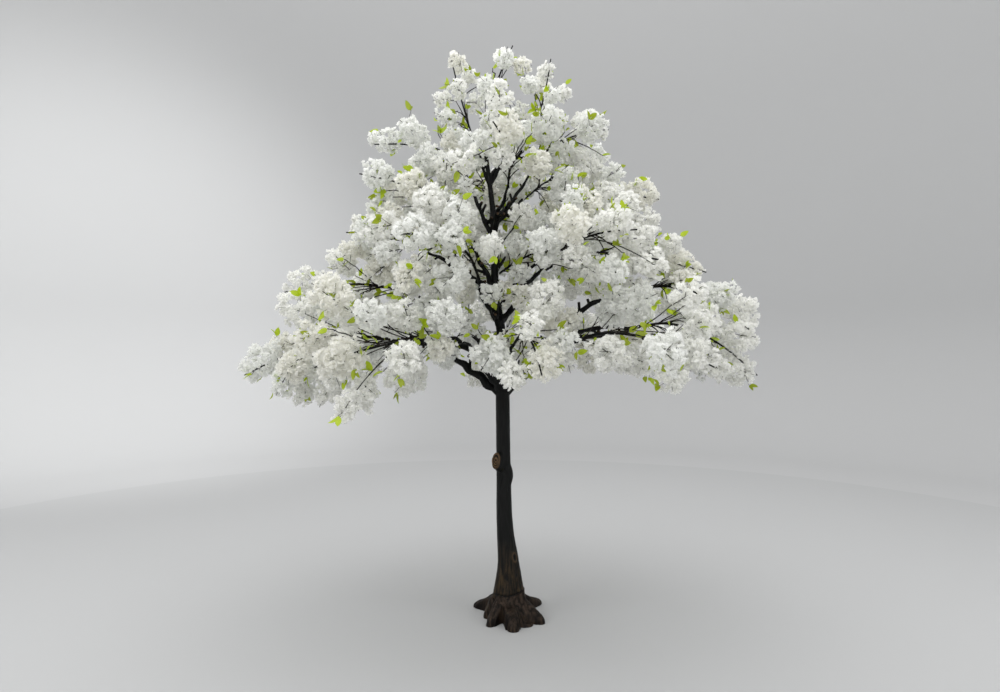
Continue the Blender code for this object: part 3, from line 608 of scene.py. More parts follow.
@dataclass(frozen=True)
class CrownOutline:
    """The crown's reach from the middle at each height, and its underside at each reach."""

    heights: tuple[float, ...] = (1.0, 1.15, 1.3, 1.5, 1.7, 1.85, 2.05, 2.25, 2.45, 2.6, 2.75, 2.9, 3.0)
    reaches: tuple[float, ...] = (1.0, 1.24, 1.36, 1.31, 1.2, 1.02, 0.9, 0.8, 0.7, 0.56, 0.43, 0.32, 0.16)
    underside_reaches: tuple[float, ...] = (0.0, 0.30, 0.80, 1.05, 1.40)
    underside_heights: tuple[float, ...] = (1.27, 1.20, 1.18, 1.13, 1.18)
    underside_tilt: float = 0.11
    top: float = 3.004
    front_thinning: float = 0.14
    front_spread: float = 40.0
    leader_views: tuple[Pair, ...] = ((1.47, 2.36),)
    leader_view_half: float = 0.15
    leader_view_depth: float = 0.05
    reach_share: float = 0.75
    under_share: float = 0.7

    def holds(self, points: Floats, radii: Floats) -> Flags:
        """Whether balls lie inside the outline, which is shallower at the front."""
        reach = np.hypot(points[..., 0], points[..., 1])
        azimuth = np.degrees(np.arctan2(points[..., 1], points[..., 0]))
        depth = 1 - self.front_thinning * np.exp(-(((azimuth + 90) / self.front_spread) ** 2))
        widest = np.interp(points[..., 2], self.heights, self.reaches) * depth
        lowest = np.interp(reach, self.underside_reaches, self.underside_heights)
        lowest = lowest + self.underside_tilt * points[..., 0]
        inside = reach + radii * self.reach_share < widest
        inside &= points[..., 2] - radii * self.under_share > lowest
        return (inside & (points[..., 2] + radii < self.top)).all(axis=1)

    def hides_leader(self, centres: Floats) -> Flags:
        """Whether bunches stand in front of the part of the leader that shows from the front."""
        line = np.interp(centres[:, 2], TRUNK.heights, TRUNK.lean_x)
        before = np.abs(centres[:, 0] - line) < self.leader_view_half
        before &= centres[:, 1] < self.leader_view_depth
        seen = np.zeros(len(centres), bool)
        for low, high in self.leader_views:
            seen |= (centres[:, 2] > low) & (centres[:, 2] < high)
        return before & seen


@dataclass(frozen=True)
class Window:
    """A part of the view from the front that finer blossom leaves open, as it falls on the plane Y = 0."""

    x: Pair
    z: Pair

    def hidden_by(self, points: Floats, radii: Floats, nearer_than: float = 0.06) -> Flags:
        """Whether balls stand in front of the window: each is cast from the eye on the plane Y = 0."""
        scale = -EYE[1] / (points[..., 1] - EYE[1])
        x = EYE[0] + (points[..., 0] - EYE[0]) * scale
        z = EYE[2] + (points[..., 2] - EYE[2]) * scale
        aside = np.maximum(self.x[0] - x, x - self.x[1])
        above = np.maximum(self.z[0] - z, z - self.z[1])
        return (np.maximum(aside, above) < radii * scale) & (points[..., 1] < nearer_than)


@dataclass(frozen=True)
class BunchRule:
    """How bunches are placed: their size, the places tried, and how far they may reach into others."""

    size: float = 1.0
    tries: int = 64
    end_tries: int = 21
    overlap: float = 0.0
    set_back: Pair = (0.15, 0.45)
    windows: tuple[Window, ...] = ()
    window_edge: float = 0.6
    outline: CrownOutline = CrownOutline()
    box: Box = ((-9.0, -9.0, -9.0), (9.0, 9.0, 9.0))

    def allows(self, middles: Floats, points: Floats, widths: Floats) -> Flags:
        """Whether bunches, each of several balls, stay within the outline and the box and off the windows.

        Args:
            middles: The middles of the bunches.
            points: The middles of their balls.
            widths: The radii of their balls.

        Returns:
            One answer for each bunch.
        """
        low, high = np.array(self.box)
        around = widths[..., None]
        allowed = ~self.outline.hides_leader(middles) & self.outline.holds(points, widths)
        allowed &= ((points - around > low) & (points + around < high)).all(axis=(1, 2))
        for window in self.windows:
            allowed &= ~window.hidden_by(points, widths * self.window_edge).any(axis=1)
        return allowed


@dataclass
class Growth:
    """The growth rule: boughs from the trunk, a mass on each, and bunches and leaves on the mass."""

    limb_points: int = 6
    limb_handle: float = 0.36
    crook: float = 0.016
    crook_shares: Pair = (0.4, 1.0)
    crook_full_span: float = 0.4
    limb_room: float = 0.003
    trunk_room: float = 0.008
    trunk_room_heights: Triple = (0.2, TRUNK.top, 0.025)
    stem_points: int = 6
    stem_handle: float = 0.4
    stem_end_radius: float = 0.003
    inner_stem_radius: float = 0.006
    inner_stem_rise: float = 35.0
    inner_stem_gap: float = 0.006
    leader_stem_share: float = 0.9
    leader_end: float = 0.05
    twig_points: int = 12
    twig_radius: float = 0.0045
    twig_places: Pair = (0.05, 0.95)
    twig_lowest: float = 0.02
    twig_lean: Pair = (0.1, 0.8)
    twig_handle: float = 0.42
    bunch_out: Pair = (0.5, 1.1)
    bunch_length: float = 0.112
    bunch_radius: float = 0.076
    ball_inset: float = 0.9
    length_shares: Pair = (0.8, 1.15)
    radius_shares: Pair = (0.88, 1.1)
    bunch_follow: float = 0.5
    bunch_stray: float = 0.2
    bunch_sag: float = 0.15
    end_bunch_stray: float = 0.15
    clearance: float = 0.005
    leaf_length: float = 0.085
    leaf_width: float = 0.044
    leaf_share: float = 0.45
    leaf_tries: int = 8
    leaf_places: Pair = (0.35, 0.8)
    leaf_lean: float = 0.5
    leaf_room_at: Triple = (0.35, 0.7, 1.0)
    bare_share: float = 0.45
    bare_share_behind: float = 0.12
    bare_behind_from: float = 0.1
    carried_points: int = 9
    carried_spacing: float = 0.01
    airy_share: float = 0.1
    behind_share: float = 1.4
    behind_from: float = 0.3
    side_reach: float = 0.85
    side_height: float = 1.6
    side_share: float = 0.38
    paths: dict[str, Floats] = field(default_factory=dict)
    masses: list[Mass] = field(default_factory=list)
    finer_stems: list[Mass] = field(default_factory=list)

    def bough_path(self, bough: Bough, rng: Draws) -> Floats:
        """A bough's line: a curve from the trunk's middle to the tip, with a crook at each joint."""
        if bough.parent:
            root = along(self.paths[bough.parent], bough.start)[0][0]
        else:
            root = TRUNK.point(bough.start)
        tip = place(bough.azimuth, bough.reach, bough.height)
        span = np.linalg.norm(tip - root)
        azimuth = math.degrees(math.atan2(tip[1] - root[1], tip[0] - root[0]))
        handle = span * self.limb_handle
        first = root + heading(azimuth, bough.tier.launch) * handle
        second = tip - heading(azimuth, bough.tier.arrive) * handle
        path = cubic(root, first, second, tip, np.linspace(0, 1, self.limb_points))
        for i in range(2, self.limb_points - 1):
            side = unit(np.cross(path[i + 1] - path[i - 1], rng.normal(size=3)))
            bend = self.crook * rng.uniform(*self.crook_shares) * min(1.0, span / self.crook_full_span)
            path[i] += side * bend
        return path

    def new_mass(
        self,
        source: Bough | InnerMass,
        kind: Tier | InnerMass,
        start: Floats,
        direction: Floats,
        azimuth: float,
        radius: float,
        droop: float = 0.0,
    ) -> Mass:
        """A mass whose stem leaves start along direction and bends over to its far end.

        Args:
            source: What gives its name, its far end and its number of bunches.
            kind: What gives its width and its size.
            start: Where its stem starts.
            direction: The way that the stem leaves.
            azimuth: The way to its far end.
            radius: The stem's radius at its start.
            droop: How much higher the stem's handle is, so that it bends over.

        Returns:
            The mass, with nothing grown on it.
        """
        far = place(azimuth, source.far_reach, source.far_height)
        handle = start + direction * np.linalg.norm(far - start) * self.stem_handle
        handle = handle + np.array([0.0, 0.0, droop])
        stem = quadratic(start, handle, far, np.linspace(0, 1, self.stem_points))
        number = len(self.masses)
        return Mass(source.name, number, stem, radius, source.bunches, kind.width, kind.size)

    def inner_mass(self, inner: InnerMass) -> Mass:
        """A mass whose stem leaves the trunk itself."""
        reach = TRUNK.radii(np.array([inner.start]))[0] + self.inner_stem_gap
        start = TRUNK.point(inner.start) + heading(inner.azimuth) * reach
        direction = heading(inner.azimuth, self.inner_stem_rise)
        return self.new_mass(inner, inner, start, direction, inner.azimuth, self.inner_stem_radius)

    def start_masses(self) -> None:
        """One mass at each bough's tip, those on the trunk, and the one on the leader's tip."""
        for bough in BOUGHS:
            tier, path = bough.tier, self.paths[bough.name]
            direction = unit(path[-1] - path[-2])
            start = path[-1] + direction * GAP
            azimuth = bough.azimuth + bough.swing
            self.masses.append(self.new_mass(bough, tier, start, direction, azimuth, tier.tip, tier.droop))
        for inner in INNER_MASSES:
            self.masses.append(self.inner_mass(inner))
        top, tip = LEADER_MASS, TRUNK.point(TRUNK.top)
        direction = unit(tip - TRUNK.point(TRUNK.top - self.leader_end))
        radius = TRUNK.leader_tip * self.leader_stem_share
        self.masses.append(self.new_mass(top, top, tip + direction * GAP, direction, top.azimuth, radius))

    def balls_of(
        self, centres: Floats, axes: Floats, lengths: Floats, radii: Floats
    ) -> tuple[Floats, Floats]:
        """Three balls in a row that hold each bunch, and their radii."""
        offsets = (lengths - radii * self.ball_inset)[:, None, None] * np.array([-1.0, 0.0, 1.0])[:, None]
        return centres[:, None] + axes[:, None] * offsets, np.repeat(radii[:, None], 3, axis=1)

    def places_beside(
        self, mass: Mass, rule: BunchRule, lengths: Floats, strays: Floats, rng: Draws
    ) -> tuple[Floats, Floats, Floats]:
        """Places to try beside a stem, each on a twig that leaves the stem along it and bends out.

        Args:
            mass: The mass that grows.
            rule: How freely its bunches are placed.
            lengths: The half-length of the bunch at each try.
            strays: How each bunch's axis strays.
            rng: The draws.

        Returns:
            The middles of the bunches, their axes and their twigs.
        """
        count = len(lengths)
        shares = rng.uniform(*self.twig_places, count)
        at, ahead = along(mass.stem, shares)
        side = unit(np.cross(ahead, rng.normal(size=(count, 3))))
        out = unit(side + ahead * rng.uniform(*self.twig_lean, (count, 1)))
        middles = at + out * (rng.uniform(*self.bunch_out, count) * mass.width)[:, None]
        sag = np.array([0, 0, self.bunch_sag])
        axes = unit(out + ahead * self.bunch_follow + strays * self.bunch_stray - sag)
        set_back = rng.uniform(*rule.set_back, count)
        roots, leaving = along(mass.stem, np.maximum(self.twig_lowest, shares - set_back))
        ends = middles - axes * lengths[:, None]
        spans = np.linalg.norm(ends - roots, axis=1, keepdims=True)
        handles = roots + leaving * spans * self.twig_handle
        return middles, axes, quadratic(roots, handles, ends, np.linspace(0, 1, self.twig_points))

    def grow_bunch(
        self, mass: Mass, rule: BunchRule, first: bool, space: Space, crowd: Space, rng: Draws
    ) -> bool:
        """Adds one bunch to a mass, with its twig: of many tries, the one furthest from the others.

        Args:
            mass: The mass that grows.
            rule: The bunch's size and how freely it is placed.
            first: Whether this is the bunch on the stem's end, which has no twig.
            space: Everything that takes room.
            crowd: The bunches alone.
            rng: The draws.

        Returns:
            Whether a place was found.
        """
        count = rule.end_tries if first else rule.tries
        size = mass.size * rule.size
        lengths = size * self.bunch_length * rng.uniform(*self.length_shares, count)
        radii = size * self.bunch_radius * rng.uniform(*self.radius_shares, count)
        strays = rng.normal(size=(count, 3))
        if first:
            _, ahead = along(mass.stem, 1.0)
            axes = unit(ahead + strays * self.end_bunch_stray)
            middles, twigs = mass.stem[-1] - axes * lengths[:, None], None
            points, widths = self.balls_of(middles, axes, lengths, radii)
            allowed = space.is_clear(points, widths, mass.number)
        else:
            middles, axes, twigs = self.places_beside(mass, rule, lengths, strays, rng)
            points, widths = self.balls_of(middles, axes, lengths, radii)
            allowed = rule.allows(middles, points, widths)
            allowed &= space.is_clear(points, widths * (1 - rule.overlap))
        apart = np.ones(count)
        if len(crowd.balls):
            apart = np.linalg.norm(middles[:, None] - crowd.balls[:, :3], axis=-1).min(axis=1)
        for k in np.argsort(-apart):
            if not allowed[k]:
                continue
            if twigs is not None:
                line = twigs[k][None, 1:-1]
                off_others = space.is_clear(line, self.twig_radius, mass.number)[0]
                if not (off_others and crowd.is_clear(line, self.twig_radius)[0]):
                    continue
                space.add(line[0], self.twig_radius, mass.number)
            twig = None if twigs is None else twigs[k]
            mass.bunches.append(Bunch(middles[k], axes[k], lengths[k], radii[k], twig))
            space.add(points[k], widths[k], mass.number)
            crowd.add(points[k], widths[k], mass.number)
            return True
        return False

    def grow_leaf(self, mass: Mass, twig: Floats, space: Space, rng: Draws) -> None:
        """Adds a leaf to a twig where it would keep out of the bunches and of other masses."""
        shares = rng.uniform(*self.leaf_places, self.leaf_tries)
        at, ahead = along(twig, shares)
        out = unit(np.cross(ahead, rng.normal(size=(self.leaf_tries, 3))))
        directions = unit(ahead * self.leaf_lean + out)
        reaches = (self.leaf_length * np.array(self.leaf_room_at))[:, None]
        points = at[:, None] + directions[:, None] * reaches
        centres = np.array([b.centre for b in mass.bunches])
        free = np.linalg.norm(points[:, 2, None] - centres, axis=-1).min(axis=1)
        free[~space.is_clear(points, self.leaf_width / 2, mass.number)] = 0
        best = int(free.argmax())
        if free[best] > self.bunch_radius:
            mass.leaves.append(LeafPlace(at[best], directions[best], out[best]))
            space.add(points[best], self.leaf_width / 2, mass.number)

    def grow(self) -> tuple[Space, Space]:
        """Grows the boughs and the masses as the source does.

        Returns:
            The room that is taken by everything, and by the bunches alone.
        """
        rng = np.random.default_rng(SEED)
        space, crowd = Space(self.clearance), Space(self.clearance)
        wood = -1
        for height in np.arange(*self.trunk_room_heights):
            space.add(TRUNK.point(height)[None], TRUNK.radii(np.array([height]))[0] + self.trunk_room, wood)
        for bough in BOUGHS:
            self.paths[bough.name] = self.bough_path(bough, rng)
            line = filled(self.paths[bough.name])
            radii = np.linspace(bough.tier.radius, bough.tier.tip, len(line))
            space.add(line, radii + self.limb_room, wood)
        self.start_masses()
        for mass in self.masses:
            line = filled(mass.stem)[1:-1]
            radii = np.linspace(mass.stem_radius, self.stem_end_radius, len(line))
            space.add(line, radii + self.limb_room, mass.number)
        source_rule = BunchRule()
        for turn in range(max(mass.wanted for mass in self.masses)):
            for mass in self.masses:
                if turn < mass.wanted:
                    self.grow_bunch(mass, source_rule, turn == 0, space, crowd, rng)
        for mass in self.masses:
            for bunch in mass.bunches:
                if bunch.twig is not None and rng.random() < self.leaf_share:
                    self.grow_leaf(mass, bunch.twig, space, rng)
        return space, crowd

    def carry_on(self, space: Space, crowd: Space, rule: BunchRule, share: float) -> None:
        """Grows finer bunches on from the same stems, within the same outline, by the same rule.

        Args:
            space: Everything that takes room.
            crowd: The bunches alone.
            rule: The finer bunches' size and how freely they are placed.
            share: How many there are for each bunch that the source has.
        """
        rng = np.random.default_rng((SEED, 1))
        owners = {mass.name: mass for mass in self.masses}
        for name, inner in FINER_STEMS:
            stem, owner = self.inner_mass(inner), owners[name]
            self.finer_stems.append(replace(stem, number=owner.number, bunches=owner.bunches))
        stems = [self.carried(mass) for mass in self.masses] + self.finer_stems
        for turn in range(round(max(mass.wanted for mass in stems) * share * self.behind_share)):
            for mass in stems:
                if turn < round(mass.wanted * share * self.fullness(mass)):
                    self.grow_bunch(mass, rule, False, space, crowd, rng)

    def fullness(self, mass: Mass) -> float:
        """How freely finer bunches are dealt to a mass: fewer at the tips, and more behind."""
        x, y, z = mass.stem[-1]
        if mass.is_airy:
            return self.airy_share
        if abs(x) > self.side_reach and z < self.side_height:
            return self.side_share
        return self.behind_share if y > self.behind_from else 1.0

    def carried(self, mass: Mass) -> Mass:
        """The same mass with its stem lengthened by the outer part of the bough that carries it."""
        if mass.name not in self.paths:
            return mass
        path = self.paths[mass.name]
        bare = self.bare_share_behind if path[-1][1] > self.bare_behind_from else self.bare_share
        outer, _ = along(path, np.linspace(bare, 1, self.carried_points))
        return replace(mass, stem=filled(np.concatenate([outer, mass.stem[1:]]), self.carried_spacing))


# Blossom


class Level(Enum):
    """The part of the crown that a mass belongs to, by the height that it reaches out to."""

    UNDER = 1.40
    LOWER = 1.75
    MIDDLE = 2.10
    UPPER = 9.0

    @staticmethod
    def of(mass: Mass) -> "Level":
        """The level of a mass."""
        return next(level for level in Level if mass.stem[-1][2] < level.value)


@dataclass(frozen=True)
class Petal:
    """A ring of petals: how many, their length, half-width and rise, and how much they ruffle."""

    count: int
    length: float
    half_width: float
    rise: Pair
    turn: float
    ruffle: float
    is_wide: bool


@dataclass
class Flower:
    """A double flower: an open outer ring of petals and a cupped inner ring, both ruffled."""

    rings: tuple[Petal, ...] = (
        Petal(5, 0.0185, 0.0098, (2, 42), 0.0, 0.0034, True),
        Petal(5, 0.0130, 0.0074, (34, 76), 0.63, 0.0026, False),
    )
    turn_stray: float = 0.1

    def petal(self, ring: Petal, turn: float, rng: Draws) -> Shape:
        """One petal as a fan of triangles from its foot: three in a wide petal, two in a narrow one.

        A point at a share s of the length lies at s times the length, raised by an angle that grows
        from the first rise to the second, with its half-width across.
        """
        if ring.is_wide:
            shares = np.array([0.0, 0.62, 1.0, 0.96, 0.58])
            across = np.array([0.0, 1.0, 0.48, -0.50, -1.0])
        else:
            shares = np.array([0.0, 0.70, 1.0, 0.64])
            across = np.array([0.0, 1.0, 0.0, -1.0])
        count = len(shares)
        rise = np.radians(ring.rise[0] + (ring.rise[1] - ring.rise[0]) * shares)
        out = ring.length * shares * np.cos(rise)
        up = ring.length * shares * np.sin(rise) + rng.normal(size=count) * ring.ruffle * (shares > 0)
        side = across * ring.half_width
        spread = np.cos(turn) * out - np.sin(turn) * side
        lateral = np.sin(turn) * out + np.cos(turn) * side
        rim = np.arange(1, count - 1)
        fan = np.column_stack([np.zeros(count - 2, int), rim, rim + 1])
        return Shape(np.column_stack([spread, lateral, up]), [fan])

    def shape(self, rng: Draws) -> Shape:
        """The whole flower, opening along +Z, with its heart at the origin."""
        petals = []
        for ring in self.rings:
            for k in range(ring.count):
                turn = ring.turn + 2 * math.pi * k / ring.count + rng.normal() * self.turn_stray
                petals.append(self.petal(ring, turn, rng))
        joined = Shape.joined(petals)
        return Shape(joined.points, [np.concatenate(joined.faces)])


def scattered(template: Shape, places: Floats, frames: Floats, sizes: Floats) -> Shape:
    """Copies of a template: each point times the size and turned by the frame, then moved to its place.

    Args:
        template: The shape to repeat.
        places: Where each copy stands.
        frames: For each copy, a matrix whose columns are its three axes.
        sizes: How large each copy is.

    Returns:
        All the copies as one shape.
    """
    points = np.einsum("nij,vj->nvi", frames, template.points) * sizes[:, None, None] + places[:, None]
    offsets = (np.arange(len(places)) * len(template.points))[:, None, None]
    faces = [(rows[None] + offsets).reshape(-1, rows.shape[1]) for rows in template.faces]
    return Shape(points.reshape(-1, 3), faces)


def frames_along(axes: Floats, turns: Floats) -> Floats:
    """Matrices whose third column is each axis, turned about it."""
    axes = unit(axes)
    across = unit(np.cross(axes, ANY_DIRECTION))
    other = np.cross(axes, across)
    cos, sin = np.cos(turns)[:, None], np.sin(turns)[:, None]
    return np.stack([cos * across + sin * other, cos * other - sin * across, axes], axis=-1)


@dataclass
class FlowerPlaces:
    """Where the flowers of one bunch stand, the way that they face, and how large they are.

    The hearts are the crumpled inner petals that fill its lobes, each with its half-width.
    """

    points: Floats
    axes: Floats
    sizes: Floats
    hearts: Floats
    heart_sizes: Floats


@dataclass
class Blossom:
    """The flowers on every bunch, and how they are dealt out."""

    area_each: float = 0.00080
    airy_density: float = 0.46
    airy_scale: float = 0.78
    lobes: int = 10
    lobe_out: Pair = (0.46, 0.84)
    lobe_radii: Pair = (0.32, 0.52)
    petal_depth: float = 0.008
    heart_depth: float = 0.012
    buried: float = 0.90
    lean: float = 0.55
    sizes: Pair = (0.66, 1.26)
    depth_stray: float = 0.0055
    fewest_on_lobe: int = 5
    inmost: float = -0.35
    heart_stray: Pair = (0.8, 1.05)
    kinds: int = 7
    flower: Flower = field(default_factory=Flower)

    def spiral(self, count: int, start: float) -> Floats:
        """Points evenly over a unit ball: point k of n at 1 - (2k + 1)/n, a golden turn on from the last."""
        k = np.arange(count)
        level = 1 - (2 * k + 1) / count
        return spun(np.sqrt(1 - level**2), GOLDEN_TURN * k + start, level)

    def places(self, bunch: Bunch, density: float, rng: Draws) -> FlowerPlaces:
        """Flowers over the lobes of a bunch: balls within its ellipsoid, without what is buried in others."""
        frame = frames_along(bunch.axis[None], np.zeros(1))[0]
        scale = self.airy_scale if density < 1 else 1.0
        half = np.array([bunch.radius, bunch.radius, bunch.length]) * scale
        spots = self.spiral(self.lobes, rng.uniform(0, 2 * math.pi))
        centres = spots * half * rng.uniform(*self.lobe_out, (self.lobes, 1))
        radii = half[0] * rng.uniform(*self.lobe_radii, self.lobes)
        points, outward = [], []
        for k in range(self.lobes):
            wanted = round(4 * math.pi * radii[k] ** 2 * density / self.area_each)
            count = max(self.fewest_on_lobe, wanted)
            ways = self.spiral(count, rng.uniform(0, 2 * math.pi))
            ways = ways @ frames_along(rng.normal(size=(1, 3)), np.zeros(1))[0].T
            at = centres[k] + ways * (radii[k] - self.petal_depth)
            others = np.delete(np.arange(self.lobes), k)
            away = np.linalg.norm(at[:, None] - centres[others], axis=-1) / radii[others]
            inward = (ways * spots[k]).sum(axis=1) < self.inmost
            keep = (away.min(axis=1) > self.buried) & ~inward
            points.append(at[keep])
            outward.append(ways[keep])
        points, outward = np.concatenate(points), np.concatenate(outward)
        count = len(points)
        points = points + rng.normal(size=(count, 3)) * self.depth_stray
        axes = unit(outward + rng.normal(size=(count, 3)) * self.lean)
        return FlowerPlaces(
            points=bunch.centre + points @ frame.T,
            axes=axes @ frame.T,
            sizes=rng.uniform(*self.sizes, count),
            hearts=bunch.centre + centres @ frame.T,
            heart_sizes=(radii - self.heart_depth) * density,
        )

    def heart(self, rng: Draws) -> Shape:
        """A crumpled ball of half-width one: the twelve corners of an icosahedron, each a little astray."""
        long = (1 + math.sqrt(5)) / 2
        signs = np.array([(a, b * long) for a in (-1, 1) for b in (-1, 1)])
        zero = np.zeros(len(signs))
        points = np.concatenate(
            [
                np.column_stack([zero, signs[:, 0], signs[:, 1]]),
                np.column_stack([signs[:, 0], signs[:, 1], zero]),
                np.column_stack([signs[:, 1], zero, signs[:, 0]]),
            ]
        )
        edge = 2.0
        near = np.linalg.norm(points[:, None] - points, axis=-1) < 1.05 * edge
        corners = combinations(range(len(points)), 3)
        faces = np.array([(a, b, c) for a, b, c in corners if near[a, b] and near[b, c] and near[a, c]])
        first, second, third = (points[faces[:, k]] for k in range(3))
        inward = (np.cross(second - first, third - first) * first).sum(axis=1) < 0
        faces[inward] = faces[inward][:, ::-1]
        return Shape(unit(points) * rng.uniform(*self.heart_stray, (len(points), 1)), [faces])

    def grow(self, masses: list[Mass], rng: Draws) -> list[list[FlowerPlaces]]:
        """The places of the flowers, for each bunch of each mass; small masses have them sparser."""
        grown = []
        for mass in masses:
            density = self.airy_density if mass.is_airy else 1.0
            grown.append([self.places(bunch, density, rng) for bunch in mass.bunches])
        return grown

    def shapes(self, places: list[FlowerPlaces], rng: Draws) -> Shape:
        """The flowers of many bunches as one shape, of a few kinds in turn."""
        points = np.concatenate([p.points for p in places])
        axes = np.concatenate([p.axes for p in places])
        sizes = np.concatenate([p.sizes for p in places])
        turns = rng.uniform(0, 2 * math.pi, len(points))
        frames = frames_along(axes, turns)
        kinds = np.arange(len(points)) % self.kinds
        made = []
        for kind in range(self.kinds):
            template = self.flower.shape(np.random.default_rng((SEED, 2, kind)))
            chosen = kinds == kind
            made.append(scattered(template, points[chosen], frames[chosen], sizes[chosen]))
        hearts = np.concatenate([p.hearts for p in places])
        sizes = np.concatenate([p.heart_sizes for p in places])
        frames = frames_along(rng.normal(size=hearts.shape), rng.uniform(0, 2 * math.pi, len(hearts)))
        made.append(scattered(self.heart(rng), hearts, frames, sizes))
        return Shape.joined(made)


# Twigs and leaves


@dataclass
class Twigs:
    """The stems, the twigs, their spines through the bunches, the side twigs and the flower stalks."""

    stem_stations: int = 16
    stem_sides: int = 8
    stem_joints: int = 5
    stem_swell: float = 0.16
    twig_sides: int = 6
    twig_radius: float = 0.0033
    twig_swell: float = 0.12
    twig_wave: float = 2.4
    twig_end: float = 1.15
    spine_points: int = 5
    spine_radius: float = 0.0022
    spine_reach: float = 0.86
    side_twigs: int = 3
    side_radius: float = 0.0015
    side_taper: float = 0.7
    side_sides: int = 4
    side_points: int = 4
    side_places: Pair = (-0.8, 0.45)
    side_ahead: Pair = (0.25, 0.9)
    side_reach: Pair = (0.75, 1.0)
    side_beyond: float = 0.010
    stalk_every: int = 12
    stalk_radius: float = 0.0009
    stalk_back: float = 0.6
    stalk_reach: float = 0.8
    shoots: int = 6
    airy_shoots: int = 3
    shoot_tries: int = 40
    shoot_places: Pair = (0.15, 0.95)
    shoot_aside: Pair = (0.35, 1.0)
    shoot_lift: float = 0.12
    shoot_sag: float = 0.02
    shoot_room: float = 0.03
    shoot_shows: Pair = (-0.03, 0.012)
    shoot_luck: float = 0.02
    shoot_lengths: Pair = (0.10, 0.26)
    shoot_radii: Pair = (0.0034, 0.0019)
    shoot_stations: int = 10
    shoot_jog: float = 0.0035
    shoot_knuckle: float = 0.22

    def stems(self, masses: list[Mass]) -> Shape:
        """The stem of each mass, from the bough's tip to the bunch on its end."""
        paths = np.array([rounded(mass.stem, self.stem_stations) for mass in masses])
        shares = np.linspace(0, 1, self.stem_stations)
        radii = np.array([m.stem_radius + (self.twig_radius - m.stem_radius) * shares for m in masses])
        joints = 1 + self.stem_swell * bell((shares * self.stem_joints) % 1 - 0.5, 0.16)
        return tubes(paths, radii * joints, self.stem_sides)

    def twigs(self, bunches: list[Bunch]) -> Shape:
        """The twigs that carry bunches, and on from each a spine through its bunch."""
        paths, radii = [], []
        for bunch in bunches:
            if bunch.twig is None:
                continue
            end = bunch.centre + bunch.axis * bunch.length * self.spine_reach
            spine = np.linspace(bunch.twig[-1], end, self.spine_points)
            paths.append(np.concatenate([bunch.twig[:-1], spine]))
            bare = np.linspace(self.twig_radius, self.spine_radius * self.twig_end, len(bunch.twig) - 1)
            within = np.linspace(self.spine_radius, self.side_radius, self.spine_points)
            radii.append(np.concatenate([bare, within]))
        paths, radii = np.array(paths), np.array(radii)
        wave = 1 + self.twig_swell * np.sin(np.arange(paths.shape[1]) * self.twig_wave)
        return tubes(paths, radii * wave, self.twig_sides)

    def shoot_paths(self, masses: list[Mass], rule: BunchRule, rng: Draws) -> Floats:
        """Bare shoots off the stems: of many tries, those that show best between the bunches.

        A shoot leaves the stem ahead and aside, runs straight with small jogs at its joints, and ends
        within the crown's outline.
        """
        made = []
        low, high = np.array(rule.box) + self.shoot_room * np.array([[1], [-1]])
        count = self.shoot_tries
        shares = np.linspace(0, 1, self.shoot_stations)[:, None]
        for mass in masses:
            centres = np.array([bunch.centre for bunch in mass.bunches])
            widths = np.array([bunch.radius for bunch in mass.bunches])
            for _ in range(self.airy_shoots if mass.is_airy else self.shoots):
                at, ahead = along(mass.stem, rng.uniform(*self.shoot_places, count))
                side = unit(np.cross(ahead, rng.normal(size=(count, 3))))
                aside = side * rng.uniform(*self.shoot_aside, (count, 1))
                way = unit(aside + ahead + np.array([0, 0, self.shoot_lift]))
                lengths = rng.uniform(*self.shoot_lengths, (count, 1)) * mass.size
                paths = at[:, None] + way[:, None] * lengths[:, None] * shares
                jogs = rng.normal(size=paths.shape) * self.shoot_jog * np.sqrt(shares)
                paths = paths + jogs + np.array([0, 0, -self.shoot_sag]) * shares**2
                far = np.linalg.norm(paths[:, 2:, None] - centres, axis=-1) - widths
                shows = np.clip(far.min(axis=2), *self.shoot_shows).sum(axis=1)
                score = shows + rng.uniform(0, self.shoot_luck, count)
                inside = rule.outline.holds(paths[:, -3:], np.full((count, 3), self.shoot_room))
                inside &= ((paths > low) & (paths < high)).all(axis=(1, 2))
                score[~inside] = -math.inf
                best = int(score.argmax())
                if inside[best]:
                    made.append(paths[best])
        return np.array(made)

    def shoot_tubes(self, paths: Floats) -> Shape:
        """The shoots as thin tubes with small rings at their joints."""
        radii = np.linspace(*self.shoot_radii, self.shoot_stations)
        radii = radii * (1 + self.shoot_knuckle * (np.arange(self.shoot_stations) % 3 == 2))
        return tubes(paths, np.broadcast_to(radii, paths.shape[:2]), self.twig_sides)

    def side_paths(self, bunches: list[Bunch], rng: Draws) -> Floats:
        """Lines of side twigs that leave each spine and end a little way out of the blossom."""
        starts, ends = [], []
        for bunch in bunches:
            shares = rng.uniform(*self.side_places, self.side_twigs)
            roots = bunch.centre + bunch.axis * (bunch.length * shares)[:, None]
            side = unit(np.cross(bunch.axis, rng.normal(size=(self.side_twigs, 3))))
            ahead = rng.uniform(*self.side_ahead, (self.side_twigs, 1))
            reach = bunch.radius * rng.uniform(*self.side_reach, (self.side_twigs, 1)) + self.side_beyond
            starts.append(roots)
            ends.append(roots + unit(side + bunch.axis * ahead) * reach)
        return straight(np.concatenate(starts), np.concatenate(ends), self.side_points)

    def side_tubes(self, paths: Floats) -> Shape:
        """The side twigs as thin tubes."""
        radii = np.linspace(self.side_radius, self.side_radius * self.side_taper, self.side_points)
        return tubes(paths, np.broadcast_to(radii, paths.shape[:2]), self.side_sides)

